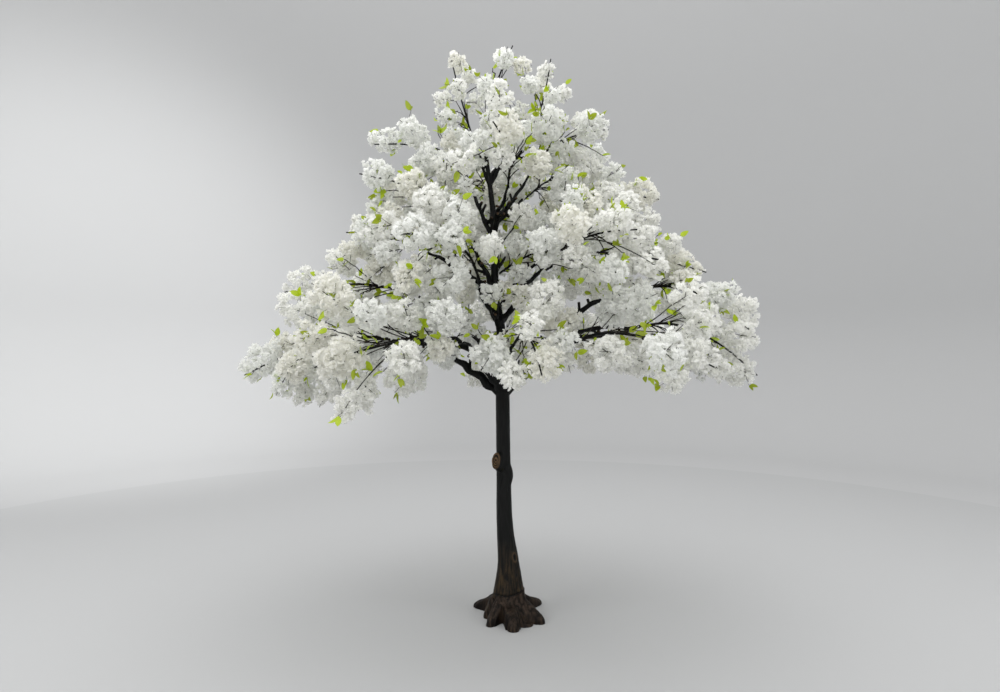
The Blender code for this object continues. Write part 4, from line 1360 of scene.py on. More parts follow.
    def stalks(self, places: list[FlowerPlaces], bunches: list[Bunch]) -> Shape:
        """Thin stalks from the spines to some of the flowers."""
        starts, ends = [], []
        for spots, bunch in zip(places, bunches):
            ends.append(spots.points[:: self.stalk_every])
            beyond = ((ends[-1] - bunch.centre) @ bunch.axis) - bunch.radius * self.stalk_back
            reach = np.clip(beyond, -bunch.length, bunch.length * self.stalk_reach)
            starts.append(bunch.centre + bunch.axis * reach[:, None])
        paths = straight(np.concatenate(starts), np.concatenate(ends), 3)
        return tubes(paths, np.full(paths.shape[:2], self.stalk_radius), 3)


@dataclass
class Foliage:
    """Bright young leaves in twos and threes at the foot of the bunches."""

    length: float = 0.045
    half_width: float = 0.0118
    fold: float = 0.32
    curl: float = 0.22
    sizes: Pair = (0.70, 1.28)
    spray_share: float = 0.36
    spray_places: Pair = (0.62, 0.96)
    shoot_mid_share: float = 0.4
    side_share: float = 0.52
    stations: int = 7
    fan: float = 0.9
    side_lean: float = 0.9
    shoot_lean: float = 0.8
    twig_lean: float = 0.5
    shoot_middles: Pair = (0.4, 0.75)
    more_share: float = 0.38
    fan_stray: float = 0.3
    way_stray: float = 0.16
    skyward: float = 0.6

    def leaf(self) -> Shape:
        """One leaf along +Z, folded on its midrib and curling back at its tip.

        At a share s of the length its half-width follows s to the 0.62 times 1 - s to the 0.85, scaled
        to its widest; the edges stand up from the midrib by the fold times the half-width.
        """
        s = np.linspace(0, 1, self.stations)
        width = s**0.62 * (1 - s) ** 0.85
        width = self.half_width * width / width.max()
        back = -self.curl * self.length * s**2
        rib = np.column_stack([np.zeros_like(s), back, s * self.length])
        lift = self.fold * width
        left = rib + np.column_stack([width, lift, np.zeros_like(s)])
        right = rib + np.column_stack([-width, lift, np.zeros_like(s)])
        points = np.concatenate([rib, left[1:-1], right[1:-1]])
        n = self.stations
        k = np.arange(1, n - 2)
        l0, r0 = n - 1, 2 * n - 3
        halves = [
            np.column_stack([k, l0 + k, l0 + k + 1, k + 1]),
            np.column_stack([k, k + 1, r0 + k + 1, r0 + k]),
        ]
        ends = np.array([
            [0, l0 + 1, 1],
            [0, 1, r0 + 1],
            [n - 2, l0 + n - 2, n - 1],
            [n - 2, n - 1, r0 + n - 2],
        ])
        return Shape(points, [np.concatenate(halves), ends])

    def spot(self, path: Floats, share: float, lean: float, rng: Draws) -> LeafPlace:
        """A place on a twig, for a leaf that leans ahead along it."""
        at, ahead = along(path, share)
        out = unit(np.cross(ahead, rng.normal(size=(1, 3))))
        return LeafPlace(at[0], unit(ahead * lean + out)[0], out[0])

    def spots(self, masses: list[Mass], shoots: Floats, side_twigs: Floats, rng: Draws) -> list[LeafPlace]:
        """Where sprays stand: on side twigs and shoots, on twigs, and where the source has a leaf."""
        chosen = side_twigs[rng.random(len(side_twigs)) < self.side_share]
        spots = [self.spot(side_twig, 1.0, self.side_lean, rng) for side_twig in chosen]
        for shoot in shoots:
            for share in (1.0, rng.uniform(*self.shoot_middles)):
                if share == 1.0 or rng.random() <= self.shoot_mid_share:
                    spots.append(self.spot(shoot, share, self.shoot_lean, rng))
        for mass in masses:
            spots += mass.leaves
            for bunch in mass.bunches:
                if bunch.twig is not None and rng.random() <= self.spray_share:
                    share = rng.uniform(*self.spray_places)
                    spots.append(self.spot(bunch.twig, share, self.twig_lean, rng))
        return spots

    def shapes(self, spots: list[LeafPlace], tones: int, rng: Draws) -> list[Shape]:
        """The leaves, in as many shapes as there are tones: a spray at each place, all of one tone."""
        roots = np.array([spot.root for spot in spots])
        directions = np.array([spot.direction for spot in spots])
        outs = np.array([spot.out for spot in spots])
        template = self.leaf()
        made: list[list[Shape]] = [[] for _ in range(tones)]
        sideways = unit(np.cross(directions, outs + rng.normal(size=outs.shape) * self.fan_stray))
        tone_of = rng.integers(0, tones, len(roots))
        for offset in (-1, 0, 1):
            keep = rng.random(len(roots)) < (1.0 if offset == 0 else self.more_share)
            stray = rng.normal(size=outs.shape) * self.way_stray
            axes = unit(directions + sideways * offset * self.fan + stray)
            face = unit(outs - axes * (outs * axes).sum(axis=1, keepdims=True))
            face = unit(face + np.array([0, 0, self.skyward]))
            face = unit(face - axes * (face * axes).sum(axis=1, keepdims=True))
            frames = np.stack([np.cross(face, axes), face, axes], axis=-1)
            sizes = rng.uniform(*self.sizes, len(roots))
            for tone in range(tones):
                chosen = keep & (tone_of == tone)
                made[tone].append(scattered(template, roots[chosen], frames[chosen], sizes[chosen]))
        return [Shape.joined(shapes) for shapes in made]


# Trunk, boughs and foot


def grid_normals(points: Floats) -> Floats:
    """The outward normals of a grid of rings that climb: the way round crossed with the way up."""
    round_ = np.roll(points, -1, axis=1) - np.roll(points, 1, axis=1)
    up = np.gradient(points, axis=0)
    return unit(np.cross(round_, up))


@dataclass(frozen=True)
class Crease:
    """A slanting fold that is pressed into the trunk: slant is how it turns as it climbs."""

    azimuth: float
    height: float
    slant: float
    half_width: float
    half_height: float
    depth: float


@dataclass
class Trunk:
    """The moulded trunk up to the leader's tip, with its swelling, its small scar and its knot."""

    sides: int = 96
    low: float = 0.108
    fine_top: float = 1.30
    fine_step: float = 0.0044
    coarse_step: float = 0.0075
    furrow: float = 0.0011
    furrow_scale: Triple = (4.2, 4.2, 9.0)
    furrow_sharpness: float = 2.6
    bend: float = 0.35
    bend_scale: Triple = (1.2, 1.2, 5.0)
    dent: float = 0.0016
    dent_scale: Triple = (1.5, 1.5, 6.5)
    fine_line: float = 0.0004
    fine_line_scale: Triple = (15.0, 15.0, 16.0)
    fold: float = 0.0042
    fold_count: int = 5
    fold_sway: float = 2.2
    fold_start: float = 0.6
    fold_fade: float = 0.11
    crease: float = 0.0042
    creases: tuple[Crease, ...] = (
        Crease(-78, 0.775, 9.0, 0.16, 0.055, 1.0),
        Crease(250, 0.70, -7.0, 0.14, 0.045, 0.8),
    )
    most_relief: float = 0.004
    swelling_sharpness: float = 260.0
    knot_sides: int = 64
    knot_foot: float = 0.026
    knot_height: float = 0.81
    knot_azimuth: float = 232.0
    knot_rise: float = 12.0
    knot_reach: float = 0.066
    knot_face: Pair = (0.0245, 0.041)
    knot_root: Pair = (0.035, 0.058)
    swelling_height: float = 0.745
    swelling_azimuth: float = -20.0
    swelling_offset: float = 0.020
    swelling_size: Pair = (0.029, 0.060)
    scar_height: float = 0.32
    scar_azimuth: float = -47.0
    scar_size: Pair = (0.012, 0.020)
    scar_rim: float = 0.0034
    scar_pit: float = 0.0030
    groove: float = 0.0050
    groove_above: float = 0.0045
    groove_width: float = 0.0036

    def swelling(self, turns: Floats, heights: Floats) -> Floats:
        """How far the swelling's ellipsoid reaches from the trunk's middle, or zero where it doesn't.

        A circle of radius a whose middle is at a distance o reaches o cos d + sqrt(a^2 - o^2 sin^2 d)
        in the direction d away from it, and a shrinks with height as an ellipse does.
        """
        wide, tall = self.swelling_size
        level = 1 - ((heights - self.swelling_height) / tall) ** 2
        radius = wide * np.sqrt(np.clip(level, 0, 1))
        away = turns - math.radians(self.swelling_azimuth)
        inside = radius**2 - (self.swelling_offset * np.sin(away)) ** 2
        reach = self.swelling_offset * np.cos(away) + np.sqrt(np.clip(inside, 0, None))
        return np.where((inside > 0) & (level > 0), reach, 0)

    def shape(self) -> Shape:
        """The trunk as rings, its radius set by the source's line plus furrows, dents and folds."""
        fine = np.arange(self.low, self.fine_top, self.fine_step)
        coarse = np.arange(self.fine_top, TRUNK.top, self.coarse_step)
        levels = np.concatenate([fine, coarse, [TRUNK.top]])
        heights, angles = np.meshgrid(levels, ring_turns(self.sides), indexing="ij")
        radius = TRUNK.radii(np.maximum(levels, TRUNK.seam))[:, None] * np.ones_like(angles)
        sharp = self.swelling_sharpness
        radius = np.log(np.exp(radius * sharp) + np.exp(self.swelling(angles, heights) * sharp) - 1) / sharp
        spokes = spun(1.0, angles, heights)
        bend = self.bend * lattice_noise(spokes * self.bend_scale, 41)
        bent = spokes + bend[..., None] * np.array([1, -1, 0])
        furrows = 1 - np.abs(layered_noise(bent * self.furrow_scale, 42)) * self.furrow_sharpness
        dents = layered_noise(spokes * self.dent_scale, 43, 2)
        fine_lines = lattice_noise(bent * self.fine_line_scale, 44)
        fade = np.exp(-(heights - TRUNK.seam) / self.fold_fade)
        sway = self.fold_sway * lattice_noise(spokes * (1, 1, 8), 45)
        folds = np.cos(self.fold_count * angles + sway + self.fold_start) * fade
        valley = np.zeros_like(radius)
        for crease in self.creases:
            above = heights - crease.height
            aside = turns_from(angles, crease.azimuth) + above * crease.slant
            valley += crease.depth * bell(aside, crease.half_width) * bell(above, crease.half_height)
        wide, tall = self.scar_size
        aside = turns_from(angles, self.scar_azimuth) * radius / wide
        scar = np.sqrt(aside**2 + ((heights - self.scar_height) / tall) ** 2)
        size = radius / TRUNK.radius
        relief = size * (self.furrow * furrows + self.dent * dents + self.fine_line * fine_lines)
        relief += self.fold * folds - self.crease * valley
        relief += self.scar_rim * bell(scar - 1.15, 0.35) - self.scar_pit * bell(scar, 0.6)
        radius = radius + np.minimum(relief, self.most_relief * np.maximum(size, 0.4))
        groove = bell(heights - Foot().seam(angles) - self.groove_above, self.groove_width)
        points = spun(radius - self.groove * groove, angles, heights)
        points[..., :2] += TRUNK.points(np.clip(levels, TRUNK.seam, None))[:, None, :2]
        # Painted shade: the hollow mask darkens the furrows, the dents, the creases, the groove above the
        # seam and the pit of the scar
        depth = np.clip(0.5 - 0.5 * furrows - 0.3 * dents, 0, 1)
        dark = np.clip(depth + valley + groove + 1 - ramp(scar, 0.5, 0.9), 0, 1)
        return skin(points[None]).bark(dark, 0.35 * bell(scar - 1.15, 0.25))

    def knot(self) -> Shape:
        """The sawn stub: oval rings out of the trunk, a rounded raised rim, and a face with a swirl."""
        outward = heading(self.knot_azimuth, self.knot_rise)
        across = heading(self.knot_azimuth + 90)
        upward = np.cross(outward, across)
        knots = (0.0, 0.35, 0.70, 0.86, 0.95, 1.0)
        wall = np.linspace(0, 1, 16)
        face = np.linspace(0.93, 0.04, 18)
        climb = smooth(knots, (0, 0.34, 0.74, 0.93, 1.02, 1.04), wall)
        swell = smooth(knots, (1.0, 0.62, 0.20, 0.12, 0.04, -0.06), wall)
        halves = []
        for at_face, at_root in zip(self.knot_face, self.knot_root):
            half = at_face + (at_root - at_face) * swell
            halves.append(np.concatenate([half, face * half[-1]])[:, None])
        wide, tall = halves
        reach = self.knot_foot + (self.knot_reach - self.knot_foot) * climb
        face_reach = self.knot_reach - 0.0032 + 0.0016 * np.cos(face * 24) * (face < 0.9)
        reach = np.concatenate([reach, face_reach])[:, None] * np.ones(self.knot_sides)
        is_face = np.arange(len(reach))[:, None] >= len(wall)
        turns = ring_turns(self.knot_sides)
        stray = layered_noise(spun(1.0, turns, reach * 60) * 1.9, 51)
        swirl = np.concatenate([np.ones(len(wall)), face])[:, None]
        grooves = np.cos(swirl * 15 + 2.4 * np.sin(turns + 2.5 * swirl) + stray * 2.0)
        reach = reach + np.where(is_face, 0.0016 * grooves, 0.0018 * stray)
        pulse = 1 + 0.07 * stray
        points = TRUNK.point(self.knot_height) + reach[..., None] * outward
        points = points + (wide * pulse * np.cos(turns))[..., None] * across
        points = points + (tall * pulse * np.sin(turns))[..., None] * upward
        cut = np.where(is_face, 0.42 + 0.52 * grooves, 0.0)
        cut[len(wall) - 3 : len(wall)] = 0.5
        # Painted shade: the hollow mask is darker where the noise sinks the stub's wall
        return skin(points[None]).bark(np.clip(0.4 - 0.5 * stray, 0, 1), cut, 1.0)


@dataclass
class BoughWood:
    """A bough with knuckles at its bends, a collar where it leaves its parent, and cut spurs."""

    stations: int = 60
    sides: int = 18
    collar: float = 0.42
    collar_fade: float = 0.035
    knuckle: float = 0.22
    knuckle_width: float = 0.035
    relief: float = 0.13
    furrow_scale: Triple = (2.1, 2.1, 1.0)
    lump_scale: Triple = (0.9, 0.9, 1.7)
    kink: float = 0.62
    kink_length: float = 0.052
    straight_from: float = 2.5
    straight_end: float = 0.05
    lump: float = 0.16
    spurs: int = 5
    spur_places: Pair = (0.24, 0.92)
    spur_lean: Pair = (0.2, 0.9)
    spur_sides: int = 10
    spur_radius: float = 0.0075
    spur_share: float = 0.62
    spur_reach: Pair = (0.014, 0.052)
    spur_steps: tuple[float, ...] = (0.0, 0.55, 0.93, 1.0, 1.0)
    spur_widths: tuple[float, ...] = (1.45, 1.0, 1.06, 0.9, 0.45)
    spur_cuts: tuple[float, ...] = (0.0, 0.0, 0.05, 0.4, 0.4)

    def shape(self, bough: Bough, path: Floats, number: int) -> Shape:
        """The bough along its rounded line, with painted shade in its furrows through the hollow mask, and
        masks for its sawn spurs.
        """
        line = rounded(path, self.stations)
        steps = np.linalg.norm(np.diff(line, axis=0), axis=1)
        run = np.concatenate([[0], np.cumsum(steps)])
        radii = bough.tier.radius + (bough.tier.tip - bough.tier.radius) * np.linspace(0, 1, self.stations)
        parent_radius = TRUNK.radii(path[:1, 2])[0]
        radii *= 1 + self.collar * np.exp(-np.clip(run - parent_radius, 0, None) / self.collar_fade)
        for joint in np.linspace(0, 1, len(path))[1:-1]:
            radii *= 1 + self.knuckle * bell(run - joint * run[-1], self.knuckle_width)
        marks = np.zeros((self.stations, 3))
        marks[:, 0] = run / self.kink_length
        marks[:, 1] = number * 3.7
        kinks = np.column_stack([lattice_noise(marks + 11.0 * k, 63) for k in range(3)])
        free = ramp(run, parent_radius, parent_radius * self.straight_from)
        free = free * ramp(run[-1] - run, 0.0, self.straight_end)
        line = line + kinks * (radii * self.kink * free)[:, None]
        radii *= 1 + self.lump * lattice_noise(marks * 1.6 + 50.0, 64)
        spokes = spun(1.0, ring_turns(self.sides), run[:, None] * 16)
        furrows = layered_noise(spokes * self.furrow_scale + number * 9.1, 61)
        lumps = lattice_noise(spokes * self.lump_scale + number * 5.3, 62)
        thick = radii[:, None] * (1 + self.relief * (furrows + lumps))
        # Painted shade: the hollow mask darkens the furrows that sink the bough's skin
        shape = skin(tube_rings(line[None], thick[None], self.sides)).bark(np.clip(0.45 - furrows, 0, 1))
        rng = np.random.default_rng((SEED, 3, number))
        places = rng.uniform(*self.spur_places, self.spurs)
        return Shape.joined([shape, *(self.spur(line, radii, share, rng) for share in places)])

    def spur(self, line: Floats, radii: Floats, share: float, rng: Draws) -> Shape:
        """A short sawn-off side shoot, flat at its end."""
        at, ahead = along(line, share)
        side = unit(np.cross(ahead[0], rng.normal(size=3)))
        outward = unit(side + ahead[0] * rng.uniform(*self.spur_lean))
        here = radii[int(share * (len(radii) - 1))]
        reach = here + rng.uniform(*self.spur_reach)
        width = min(self.spur_radius, here * self.spur_share)
        path = at[0] + outward * (reach * np.array(self.spur_steps))[:, None]
        path[-1] += outward * 0.0002
        widths = width * np.array(self.spur_widths)
        rings = tube_rings(path[None], widths[None], self.spur_sides, first=outward)
        return skin(rings).bark(0.3, np.repeat(self.spur_cuts, self.spur_sides), 0.4)


@dataclass(frozen=True)
class Root:
    """One root of the foot: its direction, its reach, and its half-width and height near the toe."""

    azimuth: float
    reach: float
    half_width: float
    toe_height: float
    shoulder: float = 0.112


ROOTS = (
    Root(143, 0.235, 0.028, 0.030),
    Root(97, 0.215, 0.033, 0.034),
    Root(46, 0.260, 0.029, 0.030),
    Root(-29, 0.210, 0.032, 0.034),
    Root(-56, 0.182, 0.052, 0.016, shoulder=0.104),
    Root(-85, 0.217, 0.041, 0.044),
    Root(-128, 0.182, 0.027, 0.030, shoulder=0.118),
    Root(190, 0.135, 0.029, 0.032),
)


@dataclass
class Foot:
    """The moulded foot: a collar under the trunk that runs out into roots, flat underneath."""

    sides: int = 380
    stations: int = 70
    collar: float = 0.081
    skirt: float = 0.104
    web: float = 0.0085
    crest_blend: float = 0.005
    flank: float = 1.25
    flank_drop: float = 0.88
    facing: float = 1.3
    grain: float = 0.0036
    grain_scale: Triple = (9.0, 9.0, 2.4)
    grain_bend: float = 0.2
    lump: float = 0.0022
    lump_scale: float = 26.0
    hole: Pair = (-27.0, 0.172)
    hole_radius: float = 0.008
    hole_depth: float = 0.012
    lip: float = 0.0030
    lip_out: tuple[float, ...] = (0.45, 0.2, -2.0, -4.0)
    lip_rise: tuple[float, ...] = (0.0012, 0.0022, 0.0016, -0.006)

    def seam(self, turns: Floats) -> Floats:
        """The height of the seam: it rises to the right and dips in front."""
        dip = 0.009 * bell(turns_from(turns, -90), 0.7)
        return TRUNK.seam + 0.010 + 0.009 * np.cos(turns) + 0.0015 * np.sin(3 * turns) - dip

    def footprint(self, turns: Floats) -> Floats:
        """How far the foot reaches on the floor in each direction.

        Each root is a strip with a round end: the way to its side is its half-width over the sine of
        the angle to it, and the way to its end is that to a circle. The skirt and the roots are
        blended by the logarithm of the sum of their exponentials.
        """
        total = np.exp(np.full_like(turns, self.skirt) / self.web)
        for root in ROOTS:
            wander = 0.07 * np.sin(3.1 * turns + root.azimuth)
            away = np.abs(turns_from(turns, root.azimuth) + wander * 0.4)
            hub = root.reach - root.half_width * 0.8
            inside = (root.half_width * 0.8) ** 2 - (hub * np.sin(away)) ** 2
            end = hub * np.cos(away) + np.sqrt(np.clip(inside, 0, None))
            side = root.half_width / np.maximum(np.sin(np.minimum(away, math.pi / 2)), 1e-3)
            reach = np.where((inside > 0) & (away < 1.2), end, np.minimum(side, hub))
            reach = np.where(away < 1.4, reach, 0)
            total += np.exp(np.clip(reach, 0, root.reach) / self.web)
        return np.log(total) * self.web

    def heights(self, turns: Floats, reach: Floats) -> tuple[Floats, Floats]:
        """How high the foot stands at each point of the floor, before its edge is rounded off.

        Each root's crest falls from its shoulder to its toe, and drops away to its sides as a circle
        does. Between the roots the ground of the valley falls steeply from the collar to the skirt.

        Returns:
            The heights, and how far off every root's crest each point is, from 0 to 1.
        """
        ground = smooth((0.0, 0.078, 0.096, 0.125, 0.3), (0.13, 0.112, 0.060, 0.024, 0.010), reach)
        total = np.exp(ground / self.crest_blend)
        off_crest = np.ones_like(turns)
        for root in ROOTS:
            away = turns_from(turns, root.azimuth)
            aside = np.sin(np.clip(np.abs(away), 0, math.pi / 2)) * reach
            ahead = np.cos(away) * reach
            middle = 0.5 * (root.reach + 0.10)
            crest = smooth(
                (0.0, 0.080, 0.105, middle, root.reach),
                (0.125, root.shoulder, root.shoulder * 0.86, root.toe_height * 1.85, root.toe_height * 1.08),
                ahead,
            )
            width = root.half_width * smooth((0.06, 0.11, 0.16, 0.3), (1.5, 1.3, 1.1, 1.0), ahead)
            off = aside / (width * self.flank)
            fall = 1 - np.sqrt(np.clip(1 - off**2, 0, 1))
            near = (np.abs(away) < self.facing) & (aside < width * self.flank)
            height = np.where(near, crest * (1 - self.flank_drop * fall), 0)
            total += np.exp(height / self.crest_blend)
            off_crest = np.where(near, np.minimum(off_crest, off), off_crest)
        return np.log(total) * self.crest_blend, off_crest

    def shape(self) -> Shape:
        """The foot as rings from its edge on the floor up to the lip under the trunk."""
        turns = ring_turns(self.sides)
        out = 1 - np.linspace(0, 1, self.stations) ** 1.7
        share, angles = np.meshgrid(out, turns, indexing="ij")
        reach = self.collar + (self.footprint(turns) - self.collar) * share
        standing, off_crest = self.heights(angles, reach)
        seam = self.seam(angles)
        blend = ramp(share, 0.0, 0.16)
        top = np.minimum(standing, seam - 0.001) * blend + seam * (1 - blend)
        rounding = (1 - np.clip(share, 0, 1) ** 7) ** (1 / 2.4)
        points = spun(reach, angles, top * rounding)
        spokes = spun(1.0, angles, reach * 7.0)
        bend = self.grain_bend * lattice_noise(spokes * 2.2, 71)[..., None] * np.array([1, -1, 0])
        grain = layered_noise((spokes + bend) * self.grain_scale, 72)
        lumps = layered_noise(points * self.lump_scale, 73, 2)
        off_edge = ramp(points[..., 2], 0.0, 0.012) * ramp(share, 0.0, 0.06)
        relief = (self.grain * grain + self.lump * lumps) * off_edge
        hole = place(*self.hole, 0.0)
        pit = bell(np.linalg.norm(points[..., :2] - hole[:2], axis=-1), self.hole_radius)
        points = points + grid_normals(points) * relief[..., None]
        points[..., 2] -= self.hole_depth * pit * (points[..., 2] > self.hole_depth)
        points[..., 2] = np.maximum(points[..., 2], 0.0)
        points[0, :, 2] = 0.0
        lip_reach = self.collar + self.lip * np.array(self.lip_out)
        lips = spun(lip_reach[:, None], turns, self.seam(turns) + np.array(self.lip_rise)[:, None])
        # Painted shade: the hollow mask darkens the creases of the grain, the valleys between the roots, the
        # hole and the lip at the seam under the trunk
        creases = np.clip(0.28 - 0.55 * grain - 0.3 * lumps, 0, 1)
        valley = creases + 1.1 * ramp(off_crest, 0.45, 1.0) * ramp(share, 0.02, 0.2) + pit
        dark_tone_and_shade = np.concatenate([np.clip(valley, 0, 1), np.full(lips.shape[:2], 0.9)])
        return skin(np.concatenate([points, lips])[None]).bark(dark_tone_and_shade)


# Finishes


def fill(tree: NodeTree, node: bpy.types.Node, settings: dict[str, object]) -> bpy.types.Node:
    """A node with its attributes set, and its inputs set to a value or linked to a socket.

    Args:
        tree: The node tree.
        node: The node.
        settings: Attributes of the node, or inputs: by name, with underlines for spaces, or by number,
            such as in_0.

    Returns:
        The node itself.
    """
    for key, value in settings.items():
        if hasattr(node, key):
            setattr(node, key, value)
            continue
        name = int(key[3:]) if key.startswith("in_") else key.replace("_", " ")
        if isinstance(value, Socket):
            tree.links.new(value, node.inputs[name])
        else:
            node.inputs[name].default_value = value
    return node


def add_node(tree: NodeTree, kind: str, **settings: object) -> bpy.types.Node:
    """A new node of this kind with its settings, as fill takes them."""
    return fill(tree, tree.nodes.new(kind), settings)


def new_material(
    name: str, **settings: object
) -> tuple[bpy.types.Material, NodeTree, bpy.types.Node]:
    """A new material, its node tree and its main shader with these settings, as fill takes them."""
    material = bpy.data.materials.new(name)
    material.use_nodes = True
    tree = material.node_tree
    return material, tree, fill(tree, tree.nodes["Principled BSDF"], settings)


def ranged(tree: NodeTree, value: Socket, source: Pair = (0.0, 1.0), target: Pair = (0.0, 1.0)) -> Socket:
    """The socket of a value that is carried over from the source range to the target range."""
    ends = {"From_Min": source[0], "From_Max": source[1], "To_Min": target[0], "To_Max": target[1]}
    return add_node(tree, "ShaderNodeMapRange", Value=value, **ends).outputs["Result"]


def bark_group() -> NodeTree:
    """The group that every bark shares: streaks along the wood, fine speckle, and their relief.

    Returns:
        A group with inputs Vector and Fineness and outputs Streaks, Speckle and Height.
    """
    group = bpy.data.node_groups.new("moulded_bark", "ShaderNodeTree")
    for name, kind in (("Vector", "NodeSocketVector"), ("Fineness", "NodeSocketFloat")):
        group.interface.new_socket(name, in_out="INPUT", socket_type=kind)
    for name in ("Streaks", "Speckle", "Height"):
        group.interface.new_socket(name, in_out="OUTPUT", socket_type="NodeSocketFloat")
    start = add_node(group, "NodeGroupInput")
    vector, fineness = start.outputs["Vector"], start.outputs["Fineness"]
    along_wood = (1.0, 1.0, 0.12)
    stretch = add_node(group, "ShaderNodeVectorMath", operation="MULTIPLY", in_0=vector, in_1=along_wood)
    drawn = stretch.outputs[0]
    scaled = add_node(group, "ShaderNodeVectorMath", operation="SCALE", in_0=drawn, Scale=fineness)
    noise = "ShaderNodeTexNoise"
    grain = {"Scale": 1.0, "Detail": 5.0, "Roughness": 0.62, "Distortion": 0.6}
    streaks = add_node(group, noise, Vector=scaled.outputs[0], **grain).outputs["Fac"]
    specks = {"Scale": 260.0, "Detail": 3.0, "Roughness": 0.7}
    speckle = add_node(group, noise, Vector=vector, **specks).outputs["Fac"]
    speckle_share = 0.35
    parts = {"in_0": speckle, "in_1": speckle_share, "in_2": streaks}
    height = add_node(group, "ShaderNodeMath", operation="MULTIPLY_ADD", **parts).outputs[0]
    add_node(group, "NodeGroupOutput", Streaks=streaks, Speckle=speckle, Height=height)
    return group


@dataclass(frozen=True)
class BarkFinish:
    """Painted moulded bark: painted shade in its hollows, worn on its ridges, browner towards the floor."""

    name: str
    # The colour of the painted shade in the hollows, and the dark end of the grain
    dark_tone_and_shade: Triple
    ridge: Triple
    brown: Triple
    cut: Triple
    fineness: float = 95.0
    brown_from: Pair = (0.45, 0.12)
    brown_most: float = 1.0
    ridge_from: Pair = (0.42, 0.68)
    worn_from: Pair = (0.60, 0.80)
    roughness: Pair = (0.42, 0.72)
    gloss: float = 0.11
    bump: float = 0.45
    bump_depth: float = 0.0016

    def material(self, group: NodeTree) -> bpy.types.Material:
        """The material, its colours mixed by the mesh's own masks and by height."""
        material, tree, shader = new_material(self.name, Specular_IOR_Level=self.gloss)
        place_on = add_node(tree, "ShaderNodeTexCoord").outputs["Object"]
        bark = add_node(tree, "ShaderNodeGroup", node_tree=group, Vector=place_on, Fineness=self.fineness)
        apart = add_node(tree, "ShaderNodeSeparateXYZ", Vector=place_on)
        low = ranged(tree, apart.outputs["Z"], self.brown_from, (0.0, self.brown_most))
        broken = ranged(tree, bark.outputs["Height"], self.worn_from)
        worn = add_node(tree, "ShaderNodeMath", operation="MULTIPLY", in_0=low, in_1=broken)
        # Painted shade: the mesh's hollow mask darkens the colour to the hollow colour in furrows, creases,
        # valleys and seams
        dark_tone_and_shade = add_node(tree, "ShaderNodeAttribute", attribute_name="dark_tone_and_shade")
        cut = add_node(tree, "ShaderNodeAttribute", attribute_name="cut")
        # Grain streaks from the hollow colour to the ridge colour; the low streaks are those the bump sinks,
        # so they are grain and painted shade in one
        speckled = ranged(tree, bark.outputs["Streaks"], self.ridge_from)
        ridge = self.mixed(tree, speckled, self.dark_tone_and_shade, self.ridge)
        brown = self.mixed(tree, worn.outputs[0], ridge, self.brown)
        dark = self.mixed(tree, dark_tone_and_shade.outputs["Fac"], brown, self.dark_tone_and_shade)
        sawn = self.mixed(tree, cut.outputs["Fac"], dark, self.cut)
        rough = ranged(tree, bark.outputs["Speckle"], target=self.roughness)
        relief = {"Strength": self.bump, "Distance": self.bump_depth, "Height": bark.outputs["Height"]}
        bump = add_node(tree, "ShaderNodeBump", **relief)
        fill(tree, shader, {"Base Color": sawn, "Roughness": rough, "Normal": bump.outputs["Normal"]})
        return material

    @staticmethod
    def mixed(tree: NodeTree, factor: Socket, first: Socket | Triple, second: Triple) -> Socket:
        """A mix of two colours by a mask.

        Args:
            tree: The material's node tree.
            factor: The mask.
            first: The colour where the mask is zero, or the socket that gives it.
            second: The colour where the mask is one.

        Returns:
            The socket of the mixed colour.
        """
        start = (*first, 1.0) if isinstance(first, tuple) else first
        end = (*second, 1.0)
        mix = add_node(tree, "ShaderNodeMix", data_type="RGBA", Factor=factor, in_6=start, in_7=end)
        return mix.outputs[2]


@dataclass(frozen=True)
class PetalFinish:
    """Thin cloth of a plain colour that light comes through: petals and leaves."""

    name: str
    colour: Triple
    share: float
    through: float = 0.6
    roughness: float = 0.62

    def material(self) -> bpy.types.Material:
        """A matte shader mixed with a translucent one of the same colour."""
        colour = (*self.colour, 1.0)
        material, tree, shader = new_material(self.name, Base_Color=colour, Roughness=self.roughness)
        glow = add_node(tree, "ShaderNodeBsdfTranslucent", Color=colour).outputs["BSDF"]
        matte = shader.outputs["BSDF"]
        mix = add_node(tree, "ShaderNodeMixShader", Fac=self.through, in_1=matte, in_2=glow)
        output = next(node for node in tree.nodes if node.type == "OUTPUT_MATERIAL")
        fill(tree, output, {"Surface": mix.outputs[0]})
        return material


WHITES = (
    PetalFinish("white_petals", (0.950, 0.950, 0.924), 0.50),
    PetalFinish("cool_petals", (0.935, 0.940, 0.918), 0.30),
    PetalFinish("cream_petals", (0.93, 0.925, 0.880), 0.20),
)
GREENS = (
    PetalFinish("lime_leaves", (0.42, 0.56, 0.010), 0.6, through=0.35, roughness=0.45),
    PetalFinish("young_leaves", (0.30, 0.38, 0.010), 0.4, through=0.35, roughness=0.48),
)
